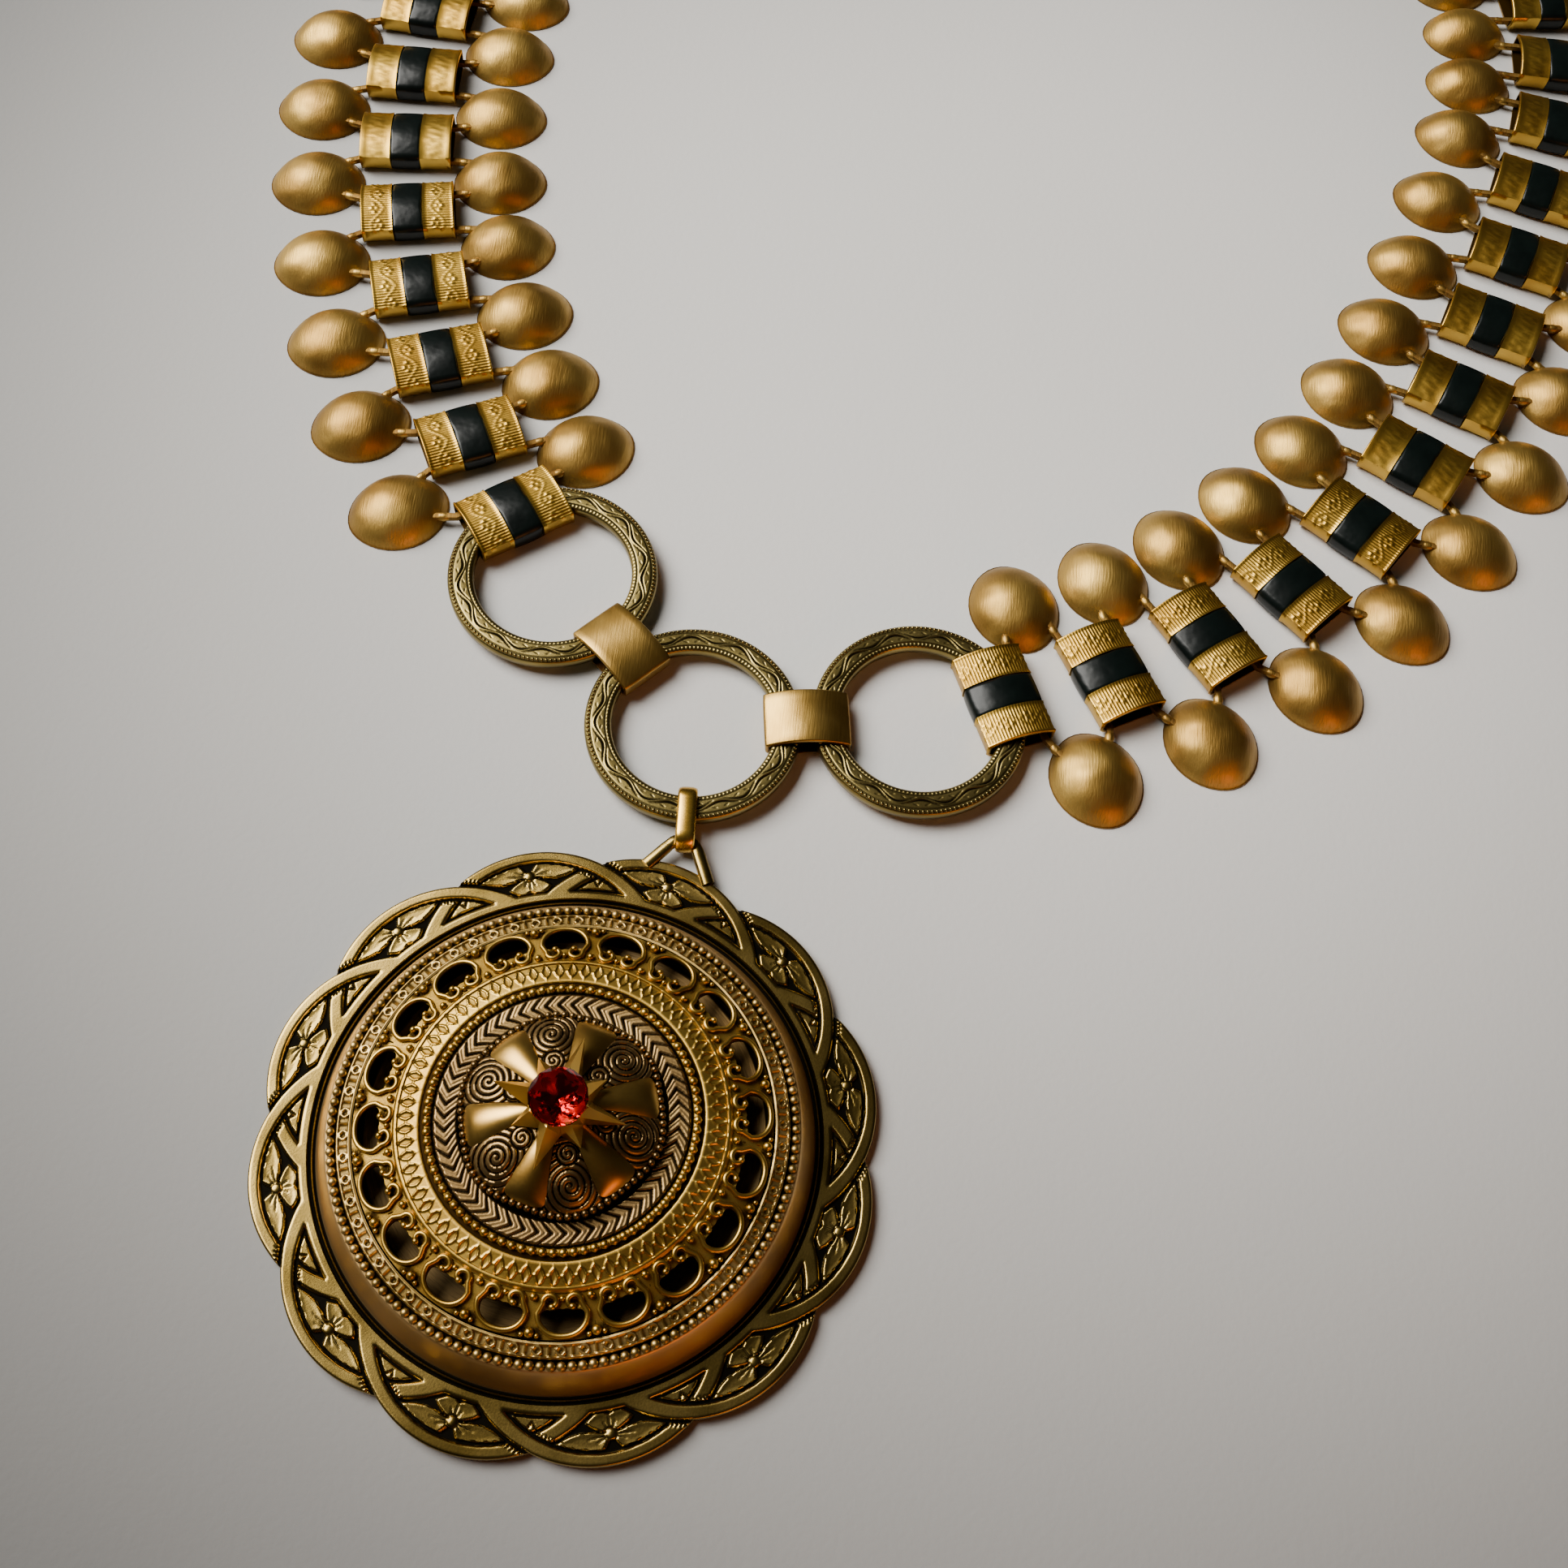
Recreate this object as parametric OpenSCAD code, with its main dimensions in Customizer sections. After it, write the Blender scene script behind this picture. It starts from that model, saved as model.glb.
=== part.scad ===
// Livery collar, laid out flat as it rests on a table. A closed loop of oval disc links,
// held together by banded sleeves, meets three engraved rings at the front. A round
// pierced medallion hangs from the middle ring on a bail.
// All sizes are in millimetres. The table is z = 0.

/* [Disc links] */
// Distance between the centres of a link's two discs
link_span = 25; // [24.8:0.1:25.6]
// Length of a disc, along its link
disc_len = 12.2; // [11.6:0.1:12.3]
// Width of a disc, along the chain
disc_w = 10.2; // [9.6:0.1:10.3]
// Height of a disc's dome
disc_h = 3.6; // [3.2:0.1:3.9]
// Thickness of the sheet that a disc is struck from
disc_sheet = 0.45; // [0.35:0.05:0.6]
// Thickness of the two bars of a link
bar_d = 0.9; // [0.7:0.05:0.95]

/* [Sleeves] */
// Length of a sleeve, across the chain
sleeve_len = 12.2; // [11.4:0.2:12.2]
// Width of a sleeve, along the chain
sleeve_w = 8.4; // [8.4:0.05:8.6]
// Height of a sleeve
sleeve_h = 3.5; // [3.5:0.05:3.7]
// Wall of a sleeve at its gold ends
sleeve_wall = 0.45; // [0.4:0.05:0.5]
// Length of the enamelled band round a sleeve
enamel_len = 4; // [3:0.2:5]

/* [Rings] */
// Outer diameter of an engraved ring
ring_od = 25; // [24.8:0.1:25.1]
// Width of a ring's band
ring_band = 3.1; // [2.9:0.05:3.15]
// Thickness of a ring
ring_t = 1.6; // [1.4:0.05:1.65]
// Length of a connector, along the rings' bands
connector_len = 6.8; // [5:0.2:7]

/* [Medallion] */
// Radius of the circle that the twelve rim flowers lie on
flower_r = 29.5; // [29.2:0.1:29.8]
// Radius to the peak of a lobe
lobe_peak_r = 32.4; // [32:0.1:32.8]
// Height of the rim's plain sheet
rim_t = 1.1; // [0.9:0.1:1.2]
// Number of pierced openings
opening_count = 20; // [16:1:20]
// Diameter of the red stone
stone_d = 6.2; // [5.8:0.1:6.4]

/* [Hidden] */
$fn = 64;
// Slack between two pieces that lie on each other
gap = 0.05;

// The loop. A holder is a sleeve or the clasp, and link k joins holder k - 1 to holder k.
ring_mid = [7.4, 49.1];
ring_step = 26.2;
ring_left_dir = 136.3;
ring_right_dir = 7.8;
holder_off = 10.4;
left_holder_dir = 125.5;
right_holder_dir = 23;
left_pitch = 12.8;
right_pitch = 13.4;
back_pitch = 12.69;
left_back_turn = -7.97;
right_back_turn = 10.12;
left_back_links = 11;
right_back_links = 10;
// Columns: heading of the step to the next holder, lean of that link from square, in degrees
LEFT_ROWS = [[124, -5], [117, -4], [112, -4], [107, -3], [101, -3], [96, -2], [91, -1]];
RIGHT_ROWS = [[21, 4], [29, 3], [39, 3], [48, 3], [55, 3], [61, 3], [67, 2], [70, 2], [72, 1], [73, 1]];
left_links = len(LEFT_ROWS) + left_back_links;
right_links = len(RIGHT_ROWS) + right_back_links;
link_count = left_links + right_links;

// The medallion's centre is the origin of the layout, which this shift carries
// to the middle of the object's outline
outline_mid = [38.379, 116.381];

function unit(a) = [cos(a), sin(a)];
function last(list) = list[len(list) - 1];
function heading(rows, turn, k) =
    k < len(rows) ? rows[k][0] : last(rows)[0] + turn * (k - len(rows) + 1);
function lean(rows, k) = k < len(rows) ? rows[k][1] : 0;
function step_pitch(rows, pitch, k) = k < len(rows) ? pitch : back_pitch;
function holder_pos(start, rows, turn, pitch, k) =
    k == 0 ? start
           : holder_pos(start, rows, turn, pitch, k - 1)
             + step_pitch(rows, pitch, k - 1) * unit(heading(rows, turn, k - 1));

ring_left = ring_mid + ring_step * unit(ring_left_dir);
ring_right = ring_mid + ring_step * unit(ring_right_dir);
left_start = ring_left + holder_off * unit(left_holder_dir);
right_start = ring_right + holder_off * unit(right_holder_dir);
LEFT_POS = [for (k = [0 : left_links]) holder_pos(left_start, LEFT_ROWS, left_back_turn, left_pitch, k)];
RIGHT_POS = [for (k = [0 : right_links]) holder_pos(right_start, RIGHT_ROWS, right_back_turn, right_pitch, k)];
// Direction square to each link's length, along the chain
LEFT_ALONG = [for (k = [0 : left_links - 1]) heading(LEFT_ROWS, left_back_turn, k) + lean(LEFT_ROWS, k)];
RIGHT_ALONG = [for (k = [0 : right_links - 1]) heading(RIGHT_ROWS, right_back_turn, k) + lean(RIGHT_ROWS, k)];
clasp_along = (last(LEFT_ALONG) + last(RIGHT_ALONG) - 180) / 2;

// Direction along the chain at a holder: halfway between its two links
function holder_along(first, along, k, n, end) =
    k == 0 ? first : k == n ? end : (along[k - 1] + along[k]) / 2;

// Heights of what runs through the sleeves
sleeve_z = 0.15;
hollow_z = sleeve_z + sleeve_wall;
bar_z = hollow_z + 0.15;
bar_off = sleeve_w / 2 - sleeve_wall - 0.2 - bar_d / 2;
ring_z = 1.05;
ring_bevel = 0.35;

// A disc is the cap of a spindle that an arc turned about the disc's long axis sweeps out
disc_drop = (pow(disc_w / 2, 2) - disc_h * disc_h) / (2 * disc_h);
disc_arc = (pow(disc_len / 2, 2) + disc_h * disc_h) / (2 * disc_h);
disc_arc_mid = disc_h + disc_drop - disc_arc;
disc_cones = 8;
stem_x = disc_len * 0.24;
stem_y = disc_w * 0.25;

// Heights of the medallion, from the table up
relief = 0.4;
lobe_count = 12;
lobe_turn = 16.5;
lobe_mid_r = 19;
lobe_r = lobe_peak_r - lobe_mid_r;
// A strap's inner edge has a centre of its own, so the strap is wider at its feet
strap_mid_r = 19.9;
strap_inner_r = 11.5;
panel_r = 27.4;
wall_foot_r = 25.9;
wall_top_r = 23.9;
wall_top_z = 5.2;
ledge_r = 21.3;
ledge_z = 5.5;
floor_z = 3.8;
floor_t = 0.9;
disc_rim_z = 6.3;
disc_hub_z = 8.9;
disc_hub_r = 13.2;
disc_t = 0.7;
opening_mid_r = 19.1;
opening_r = 2.15;
opening_turn = 8;
boss_plate_z = 8.75;
boss_r = 10.3;
boss_foot_z = 9.5;
boss_top_z = 12.6;
star_z = 12.88;
star_points = 4;
star_turn = 77.6;
star_long_r = 6.3;
star_short_r = 4.5;
star_valley_r = 2.9;
seat_share = 0.66;
seat_z = 14.3;
girdle_z = 15.5;
table_z = 16.7;

function link_name(k) = str("link_", k < 10 ? "0" : "", k);
LINK_NAMES = [for (k = [1 : link_count]) link_name(k)];

gold = [0.78, 0.62, 0.34];
satin_gold = [0.76, 0.62, 0.38];
antique_brass = [0.52, 0.45, 0.25];
black_enamel = [0.06, 0.09, 0.08];
ruby = [0.7, 0.02, 0.07];

// Puts the layout's origin where the outline's middle is
module laid_out() {
    translate([-outline_mid[0], -outline_mid[1], 0]) children();
}

// Moves children to a point and turns their x axis to an angle
module placed(p, a, z = 0) {
    translate([p[0], p[1], z]) rotate([0, 0, a]) children();
}

module repeat_round(n, turn = 0) {
    for (k = [0 : n - 1])
        rotate([0, 0, turn + k * 360 / n]) children();
}

// Round rod from point p to point q
module rod(p, q, d) {
    v = q - p;
    len_v = norm(v);
    translate(p)
        rotate([0, acos(v[2] / len_v), atan2(v[1], v[0])])
            cylinder(h = len_v, d = d);
}

// Rectangle with round corners, standing on y = 0
module round_box_2d(w, h, r) {
    translate([-w / 2 + r, 0]) square([w - 2 * r, h]);
    translate([-w / 2, r]) square([w, h - 2 * r]);
    for (x = [-1, 1], y = [r, h - r])
        translate([x * (w / 2 - r), y]) circle(r = r);
}

// Disc links

// Solid under the spindle's arc, drawn in by inset, and cut at the rim's plane.
// The arc is stepped into a few straight lines, each of which sweeps out a cone.
module disc_cap(inset) {
    arc_r = disc_arc - inset;
    end_r = disc_drop - 0.15;
    end_a = acos((end_r - disc_arc_mid) / arc_r);
    arc = [for (k = [0 : disc_cones])
           let (a = end_a * (1 - 2 * k / disc_cones)) [disc_arc_mid + arc_r * cos(a), arc_r * sin(a)]];
    intersection() {
        translate([0, 0, -disc_drop])
            rotate([0, 90, 0])
                rotate_extrude()
                    polygon(concat(arc, [[0, last(arc)[1]], [0, arc[0][1]]]));
        translate([-disc_len, -disc_len, 0]) cube([2 * disc_len, 2 * disc_len, disc_len]);
    }
}

// Flat strip of width w along a path
function left_of(p, q) = let (v = (q - p) / norm(q - p)) [-v[1], v[0]];
function strip_point(path, k, off) =
    let (n = left_of(path[max(k - 1, 0)], path[max(k, 1)])
             + left_of(path[min(k, len(path) - 2)], path[min(k + 1, len(path) - 1)]))
    path[k] + off * 2 * n / (n * n);

module strip_2d(path, w) {
    polygon([for (s = [-1, 1], k = [0 : len(path) - 1])
             s < 0 ? strip_point(path, k, -w / 2) : strip_point(path, len(path) - 1 - k, w / 2)]);
}

// Point at x across the chain and y along it from p
function across_from(p, along, x, y) = p + x * unit(along - 90) + y * unit(along);

// A bar runs straight through its holder and bends into the discs at both ends.
// side is the side of the link, 1 or -1, that the holder lies on.
module link_bar(mid, along, side, pos, pos_along) {
    bend_x = sleeve_len / 2 + 0.2;
    disc_x = link_span / 2 - stem_x;
    path = [across_from(mid, along, -disc_x, side * stem_y),
            across_from(pos, pos_along, -bend_x, -side * bar_off),
            across_from(pos, pos_along, bend_x, -side * bar_off),
            across_from(mid, along, disc_x, side * stem_y)];
    translate([0, 0, bar_z]) linear_extrude(height = bar_d) strip_2d(path, bar_d);
}

module at_discs(mid, along) {
    for (end = [-1, 1])
        placed(mid + end * link_span / 2 * unit(along - 90), along - 90) children();
}

// One link between holders at p and q, whose directions along the chain are given
module disc_link(p, q, p_along, q_along, along) {
    mid = (p + q) / 2;
    color(satin_gold) laid_out()
        difference() {
            union() {
                at_discs(mid, along) disc_cap(0);
                link_bar(mid, along, -1, p, p_along);
                link_bar(mid, along, 1, q, q_along);
            }
            at_discs(mid, along) translate([0, 0, -0.01]) disc_cap(disc_sheet);
        }
}

function left_holder_along(k) =
    holder_along(left_holder_dir, LEFT_ALONG, k, left_links, clasp_along);
function right_holder_along(k) =
    holder_along(right_holder_dir, RIGHT_ALONG, k, right_links, clasp_along + 180);

module left_link(k) {
    disc_link(LEFT_POS[k], LEFT_POS[k + 1], left_holder_along(k), left_holder_along(k + 1), LEFT_ALONG[k]);
}

module right_link(k) {
    disc_link(RIGHT_POS[k], RIGHT_POS[k + 1], right_holder_along(k), right_holder_along(k + 1),
              RIGHT_ALONG[k]);
}

// Sleeves and their enamel

// Cross-section of a sleeve, drawn in by inset: a round-cornered box with an arched top
module sleeve_section(inset) {
    corner = 0.9;
    crown_r = 9;
    intersection() {
        translate([0, inset])
            round_box_2d(sleeve_w - 2 * inset, sleeve_h - 2 * inset, corner - inset);
        translate([0, sleeve_h - crown_r]) circle(r = crown_r - inset);
    }
}

// Carries a section along the sleeve's length, from x0 to x1
module along_sleeve(x0, x1) {
    translate([x0, 0, sleeve_z])
        rotate([90, 0, 90])
            linear_extrude(height = x1 - x0) children();
}

enamel_depth = 0.25;

module sleeve() {
    half = sleeve_len / 2;
    band = enamel_len / 2;
    difference() {
        union() {
            along_sleeve(-half, -band) sleeve_section(0);
            along_sleeve(-band, band) sleeve_section(enamel_depth);
            along_sleeve(band, half) sleeve_section(0);
        }
        along_sleeve(-half - 1, half + 1) sleeve_section(sleeve_wall);
    }
}

module enamel_band() {
    half = enamel_len / 2 - gap;
    difference() {
        along_sleeve(-half, half) sleeve_section(0.02);
        along_sleeve(-half - 1, half + 1) sleeve_section(enamel_depth - 0.04);
    }
}

// Puts children at each sleeve of one side; the clasp stands in for the last holder
module at_left_sleeves() {
    for (k = [0 : left_links - 1])
        placed(LEFT_POS[k], left_holder_along(k) - 90) children();
}

module at_right_sleeves() {
    for (k = [0 : right_links - 1])
        placed(RIGHT_POS[k], right_holder_along(k) - 90) children();
}

module sleeves_left() {
    color(gold) laid_out() at_left_sleeves() sleeve();
}

module sleeves_right() {
    color(gold) laid_out() at_right_sleeves() sleeve();
}

module enamel_left() {
    color(black_enamel) laid_out() at_left_sleeves() enamel_band();
}

module enamel_right() {
    color(black_enamel) laid_out() at_right_sleeves() enamel_band();
}

// Plain box that closes the loop at the back of the neck
module clasp() {
    clasp_w = sleeve_w + 1;
    clasp_h = sleeve_h + 0.5;
    color(gold) laid_out() placed(LEFT_POS[left_links], clasp_along - 90)
        difference() {
            translate([0, 0, 0.05 - sleeve_z])
                along_sleeve(-sleeve_len / 2, sleeve_len / 2) round_box_2d(clasp_w, clasp_h, 0.8);
            along_sleeve(-sleeve_len, sleeve_len) sleeve_section(sleeve_wall);
        }
}

// Rings and their connectors

module engraved_ring(p) {
    color(antique_brass) laid_out() placed(p, 0, ring_z)
        rotate_extrude()
            translate([ring_od / 2 - ring_band, 0])
                polygon([[ring_bevel, 0], [ring_band - ring_bevel, 0],
                         [ring_band, ring_bevel], [ring_band, ring_t - ring_bevel],
                         [ring_band - ring_bevel, ring_t], [ring_bevel, ring_t],
                         [0, ring_t - ring_bevel], [0, ring_bevel]]);
}

module ring_left() {
    engraved_ring(ring_left);
}

module ring_middle() {
    engraved_ring(ring_mid);
}

module ring_right() {
    engraved_ring(ring_right);
}

connector_wall = 0.45;
connector_z = ring_z - 0.15 - connector_wall;
// The bands bow outwards towards the connector's ends, which sets its width
ring_id = ring_od - 2 * ring_band;
band_reach = ring_step / 2 - sqrt(pow(ring_id / 2, 2) - pow(connector_len / 2, 2));
connector_w = 2 * (band_reach + 0.15 + connector_wall);
connector_h = ring_t + 0.8 + 2 * connector_wall;

module connector_section(inset) {
    crown_r = 16;
    intersection() {
        translate([0, inset])
            round_box_2d(connector_w - 2 * inset, connector_h - 2 * inset, 0.75 - inset);
        translate([0, connector_h - crown_r]) circle(r = crown_r - inset);
    }
}

module connector(dir) {
    mid = ring_mid + ring_step / 2 * unit(dir);
    color(satin_gold) laid_out() placed(mid, dir, connector_z)
        rotate([90, 0, 0])
            difference() {
                translate([0, 0, -connector_len / 2])
                    linear_extrude(height = connector_len) connector_section(0);
                translate([0, 0, -connector_len])
                    linear_extrude(height = 2 * connector_len) connector_section(connector_wall);
            }
}

module connector_left() {
    connector(ring_left_dir);
}

module connector_right() {
    connector(ring_right_dir);
}

// Bail and medallion

bail_wire = 0.9;
bail_w = 2.2;
bail_dir = -87;
loop_wire = 1.05;
bail_inner_h = ring_t + 0.3;
bail_inner_len = ring_band + loop_wire + 1.15;
bail_z = ring_z - 0.15 - bail_wire;
bail_mid_r = ring_id / 2 - 0.3 + bail_inner_len / 2;

module bail() {
    outer_h = bail_inner_h + 2 * bail_wire;
    color(gold) laid_out()
        placed(ring_mid + bail_mid_r * unit(bail_dir), bail_dir, bail_z)
            rotate([90, 0, 0])
                translate([0, 0, -bail_w / 2])
                    linear_extrude(height = bail_w)
                        difference() {
                            round_box_2d(bail_inner_len + 2 * bail_wire, outer_h, outer_h / 2 - 0.01);
                            translate([0, bail_wire])
                                round_box_2d(bail_inner_len, bail_inner_h, bail_inner_h / 2 - 0.01);
                        }
}

// The loop's corner lies in the low end of the bail, over its wire
loop_top_r = bail_mid_r + bail_inner_len / 2 - loop_wire / 2 - 0.12;
loop_top = ring_mid + loop_top_r * unit(bail_dir);
loop_top_z = bail_z + bail_wire + bail_inner_h / 2;
loop_foot_z = loop_wire / 2 + 0.1;
LOOP_FEET = [[3.4, 30.4], [11.6, 29.2]];

// Wire loop soldered to the rim: a short bar through the bail and a leg down each side
module pendant_loop() {
    shoulder = bail_w / 2 + 0.45;
    shoulders = [for (s = [-1, 1]) [loop_top[0] + s * shoulder, loop_top[1], loop_top_z]];
    rod(shoulders[0], shoulders[1], loop_wire);
    for (k = [0, 1]) {
        foot = [LOOP_FEET[k][0], LOOP_FEET[k][1], loop_foot_z];
        translate(shoulders[k]) sphere(d = loop_wire * 1.08);
        rod(shoulders[k], foot, loop_wire);
    }
}

// Outline of the rim: twelve overlapping circles
module lobes_2d(r) {
    for (k = [0 : lobe_count - 1])
        rotate(lobe_turn + k * 360 / lobe_count)
            translate([lobe_mid_r, 0]) circle(r = r);
}

// One interlaced strap of the rim for each lobe, kept to the band outside the panels' foot
module rim_straps() {
    translate([0, 0, rim_t - 0.3])
        linear_extrude(height = 0.3 + relief)
            difference() {
                union() {
                    repeat_round(lobe_count, lobe_turn)
                        difference() {
                            translate([lobe_mid_r, 0]) circle(r = lobe_r);
                            translate([strap_mid_r, 0]) circle(r = strap_inner_r);
                        }
                }
                circle(r = panel_r - 0.2);
            }
}

// Four-petalled flower in the middle of each lobe
module rim_flower() {
    petal_r = 0.95;
    z = rim_t - 0.3;
    // Columns: radial offset, sideways offset
    petals = [[-1, 0], [0.1, -1.35], [0.1, 1.35]];
    for (p = petals)
        translate([flower_r + p[0], p[1], z]) cylinder(h = 0.3 + relief * 0.8, r = petal_r);
    translate([flower_r, 0, rim_t + relief * 0.7]) sphere(r = 0.42);
}

// Stamped shell: flat rim, rising wall, bead ring, ledge for the pierced disc, sunk floor
module medallion_profile() {
    polygon([[0, floor_z - floor_t], [wall_top_r - 1.6, floor_z - floor_t], [wall_foot_r - 1.2, 0.4],
             [wall_foot_r - 1, 0], [wall_foot_r + 0.8, 0], [wall_foot_r + 0.8, rim_t],
             [wall_foot_r + 0.4, rim_t - 0.2], [wall_foot_r, rim_t - 0.1], [wall_foot_r - 0.5, 2.4],
             [wall_top_r + 0.5, 4.2], [wall_top_r, wall_top_z], [ledge_r + 1.4, wall_top_z + 0.2],
             [ledge_r + 1.2, wall_top_z + 0.6], [ledge_r, wall_top_z + 0.9], [ledge_r, ledge_z],
             [ledge_r - 0.9, ledge_z], [ledge_r - 0.9, floor_z], [0, floor_z]]);
}

bead_ring_r = 23.2;
bead_d = 0.95;

module medallion_base() {
    color(antique_brass) laid_out() {
        difference() {
            linear_extrude(height = rim_t) lobes_2d(lobe_r);
            translate([0, 0, -1]) cylinder(h = rim_t + 2, r = wall_foot_r + 0.4, $fn = 128);
        }
        rotate_extrude($fn = 128) medallion_profile();
        rotate_extrude($fn = 128) translate([bead_ring_r, wall_top_z + 0.2]) circle(d = bead_d);
        translate([0, 0, rim_t - 0.3])
            difference() {
                cylinder(h = 0.3 + relief, r = panel_r, $fn = 128);
                translate([0, 0, -1]) cylinder(h = 3, r = wall_foot_r + 0.5, $fn = 128);
            }
        rim_straps();
        repeat_round(lobe_count, lobe_turn) rim_flower();
        pendant_loop();
    }
}

// Kidney opening: a round hole whose inner side two scroll ends press in
module kidney_2d() {
    scroll_r = 0.95;
    difference() {
        circle(r = opening_r);
        for (s = [-1, 1])
            translate([-opening_r + 0.55, s * scroll_r * 1.05]) circle(r = scroll_r);
    }
}

module pierced_disc() {
    slope = (disc_hub_z - disc_rim_z) / (ledge_r - disc_hub_r);
    color(gold) laid_out()
        difference() {
            union() {
                rotate_extrude($fn = 128)
                    polygon([[ledge_r - gap * 2, disc_rim_z - disc_t], [ledge_r - gap * 2, disc_rim_z],
                             [ledge_r - 0.5, disc_rim_z + 0.35], [ledge_r - 0.9, disc_rim_z + slope * 0.9],
                             [disc_hub_r + 1.2, disc_hub_z - slope * 1.2], [disc_hub_r + 0.9, disc_hub_z],
                             [disc_hub_r, disc_hub_z], [disc_hub_r, disc_hub_z - 1],
                             [disc_hub_r - 1.6, disc_hub_z - 1], [disc_hub_r - 1.6, disc_hub_z - 1.5],
                             [disc_hub_r + 0.4, disc_hub_z - 1.5], [ledge_r - 1, ledge_z + gap],
                             [ledge_r - 0.2, ledge_z + gap]]);
                rotate_extrude($fn = 128)
                    translate([disc_hub_r + 0.45, disc_hub_z]) circle(d = 0.8);
                rotate_extrude($fn = 128)
                    translate([opening_mid_r - opening_r - 0.3, disc_hub_z - slope * 3.4]) circle(d = 0.5);
            }
            repeat_round(opening_count, opening_turn)
                translate([opening_mid_r, 0, 0]) linear_extrude(height = 12) kidney_2d();
        }
}

// Domed centre with six plain petals between six coiled panels, on a herringbone ring
module boss() {
    plate_r = disc_hub_r - gap * 2;
    dome_h = boss_top_z - boss_foot_z;
    dome_ball_r = (boss_r * boss_r + dome_h * dome_h) / (2 * dome_h);
    under_z = disc_hub_z - 1 + gap;
    petal_turn = 15;
    coil_turn = 45;
    coil_mid_r = 7.7;
    coil_r = 1.95;
    coil_inner_r = 4.6;
    color(antique_brass) laid_out() {
        difference() {
            union() {
                translate([0, 0, under_z]) cylinder(h = boss_plate_z - under_z, r = plate_r, $fn = 128);
                translate([0, 0, under_z]) cylinder(h = boss_foot_z - under_z, r = boss_r, $fn = 96);
                intersection() {
                    translate([0, 0, boss_top_z - dome_ball_r]) sphere(r = dome_ball_r, $fn = 128);
                    translate([0, 0, boss_foot_z - 0.1]) cylinder(h = 10, r = boss_r, $fn = 96);
                }
                intersection() {
                    translate([0, 0, boss_top_z - dome_ball_r]) sphere(r = dome_ball_r + 0.35, $fn = 128);
                    union() {
                        repeat_round(6, petal_turn)
                            linear_extrude(height = 20)
                                polygon([[2.4, -0.5], [8.9, -2.1], [9.5, 0], [8.9, 2.1], [2.4, 0.5]]);
                        repeat_round(6, coil_turn) {
                            translate([coil_mid_r, 0, 0]) cylinder(h = 20, r = coil_r);
                            translate([coil_inner_r, 0, 0]) cylinder(h = 20, r = 1);
                        }
                    }
                    translate([0, 0, boss_foot_z - 0.2]) cylinder(h = 10, r = boss_r);
                }
            }
            intersection() {
                translate([0, 0, boss_top_z - dome_ball_r]) sphere(r = dome_ball_r - 0.8, $fn = 128);
                cylinder(h = 20, r = boss_r - 0.9);
            }
        }
    }
}

// Eight-pointed star: its flat outline, drawn in towards the middle as it rises to the stone
module star_setting() {
    n = star_points * 4;
    edge_t = 0.4;
    function outline_r(k) = k % 2 == 1 ? star_valley_r : k % 4 == 0 ? star_long_r : star_short_r;
    outline = [for (k = [0 : n - 1]) outline_r(k) * unit(k * 360 / n)];
    color(gold) laid_out() rotate([0, 0, star_turn]) {
        translate([0, 0, star_z]) linear_extrude(height = edge_t) polygon(outline);
        translate([0, 0, star_z + edge_t])
            linear_extrude(height = seat_z - star_z - edge_t, scale = seat_share) polygon(outline);
    }
}

// Round cut stone: octagonal table, crown, girdle and a blunt pavilion
module stone() {
    n = 16;
    girdle_t = 0.25;
    table_d = stone_d * 0.56;
    // Columns: height, radius, turn in half facets
    rows = [[seat_z + gap, 0.42 * stone_d / 2, 0], [girdle_z, stone_d / 2, 0],
            [girdle_z + girdle_t, stone_d / 2, 0], [girdle_z + 0.8, 0.8 * stone_d / 2, 1],
            [table_z, table_d / 2, 0]];
    points = [for (row = rows, k = [0 : n - 1])
              let (a = (k + row[2] / 2) * 360 / n) [row[1] * cos(a), row[1] * sin(a), row[0]]];
    top = (len(rows) - 1) * n;
    walls = [for (r = [0 : len(rows) - 2], k = [0 : n - 1])
             let (a = r * n + k, b = r * n + (k + 1) % n)
             each [[a, a + n, b], [b, a + n, b + n]]];
    color(ruby) laid_out()
        polyhedron(points = points,
                   faces = concat(walls, [[for (k = [0 : n - 1]) k], [for (k = [0 : n - 1]) top + n - 1 - k]]),
                   convexity = 2);
}

medallion_base();
pierced_disc();
boss();
star_setting();
stone();
bail();
ring_left();
ring_middle();
ring_right();
connector_left();
connector_right();
sleeves_left();
sleeves_right();
enamel_left();
enamel_right();
clasp();
for (k = [1 : left_links])
    left_link(k - 1);
for (k = [1 : right_links])
    right_link(k - 1);
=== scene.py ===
import functools
import math

import bmesh
import bpy
import numpy as np
from mathutils import Matrix, Vector


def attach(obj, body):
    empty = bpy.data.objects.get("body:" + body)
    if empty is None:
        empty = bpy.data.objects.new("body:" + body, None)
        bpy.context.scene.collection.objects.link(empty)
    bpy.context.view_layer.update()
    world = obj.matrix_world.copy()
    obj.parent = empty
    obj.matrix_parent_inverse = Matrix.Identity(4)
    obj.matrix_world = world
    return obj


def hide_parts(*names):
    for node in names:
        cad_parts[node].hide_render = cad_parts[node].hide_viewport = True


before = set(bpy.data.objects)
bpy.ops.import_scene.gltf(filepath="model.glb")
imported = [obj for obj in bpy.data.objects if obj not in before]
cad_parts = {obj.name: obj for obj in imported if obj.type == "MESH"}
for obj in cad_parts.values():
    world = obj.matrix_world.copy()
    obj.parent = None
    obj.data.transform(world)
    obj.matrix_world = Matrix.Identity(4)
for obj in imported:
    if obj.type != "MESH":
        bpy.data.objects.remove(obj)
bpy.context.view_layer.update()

MM = 0.001


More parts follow.
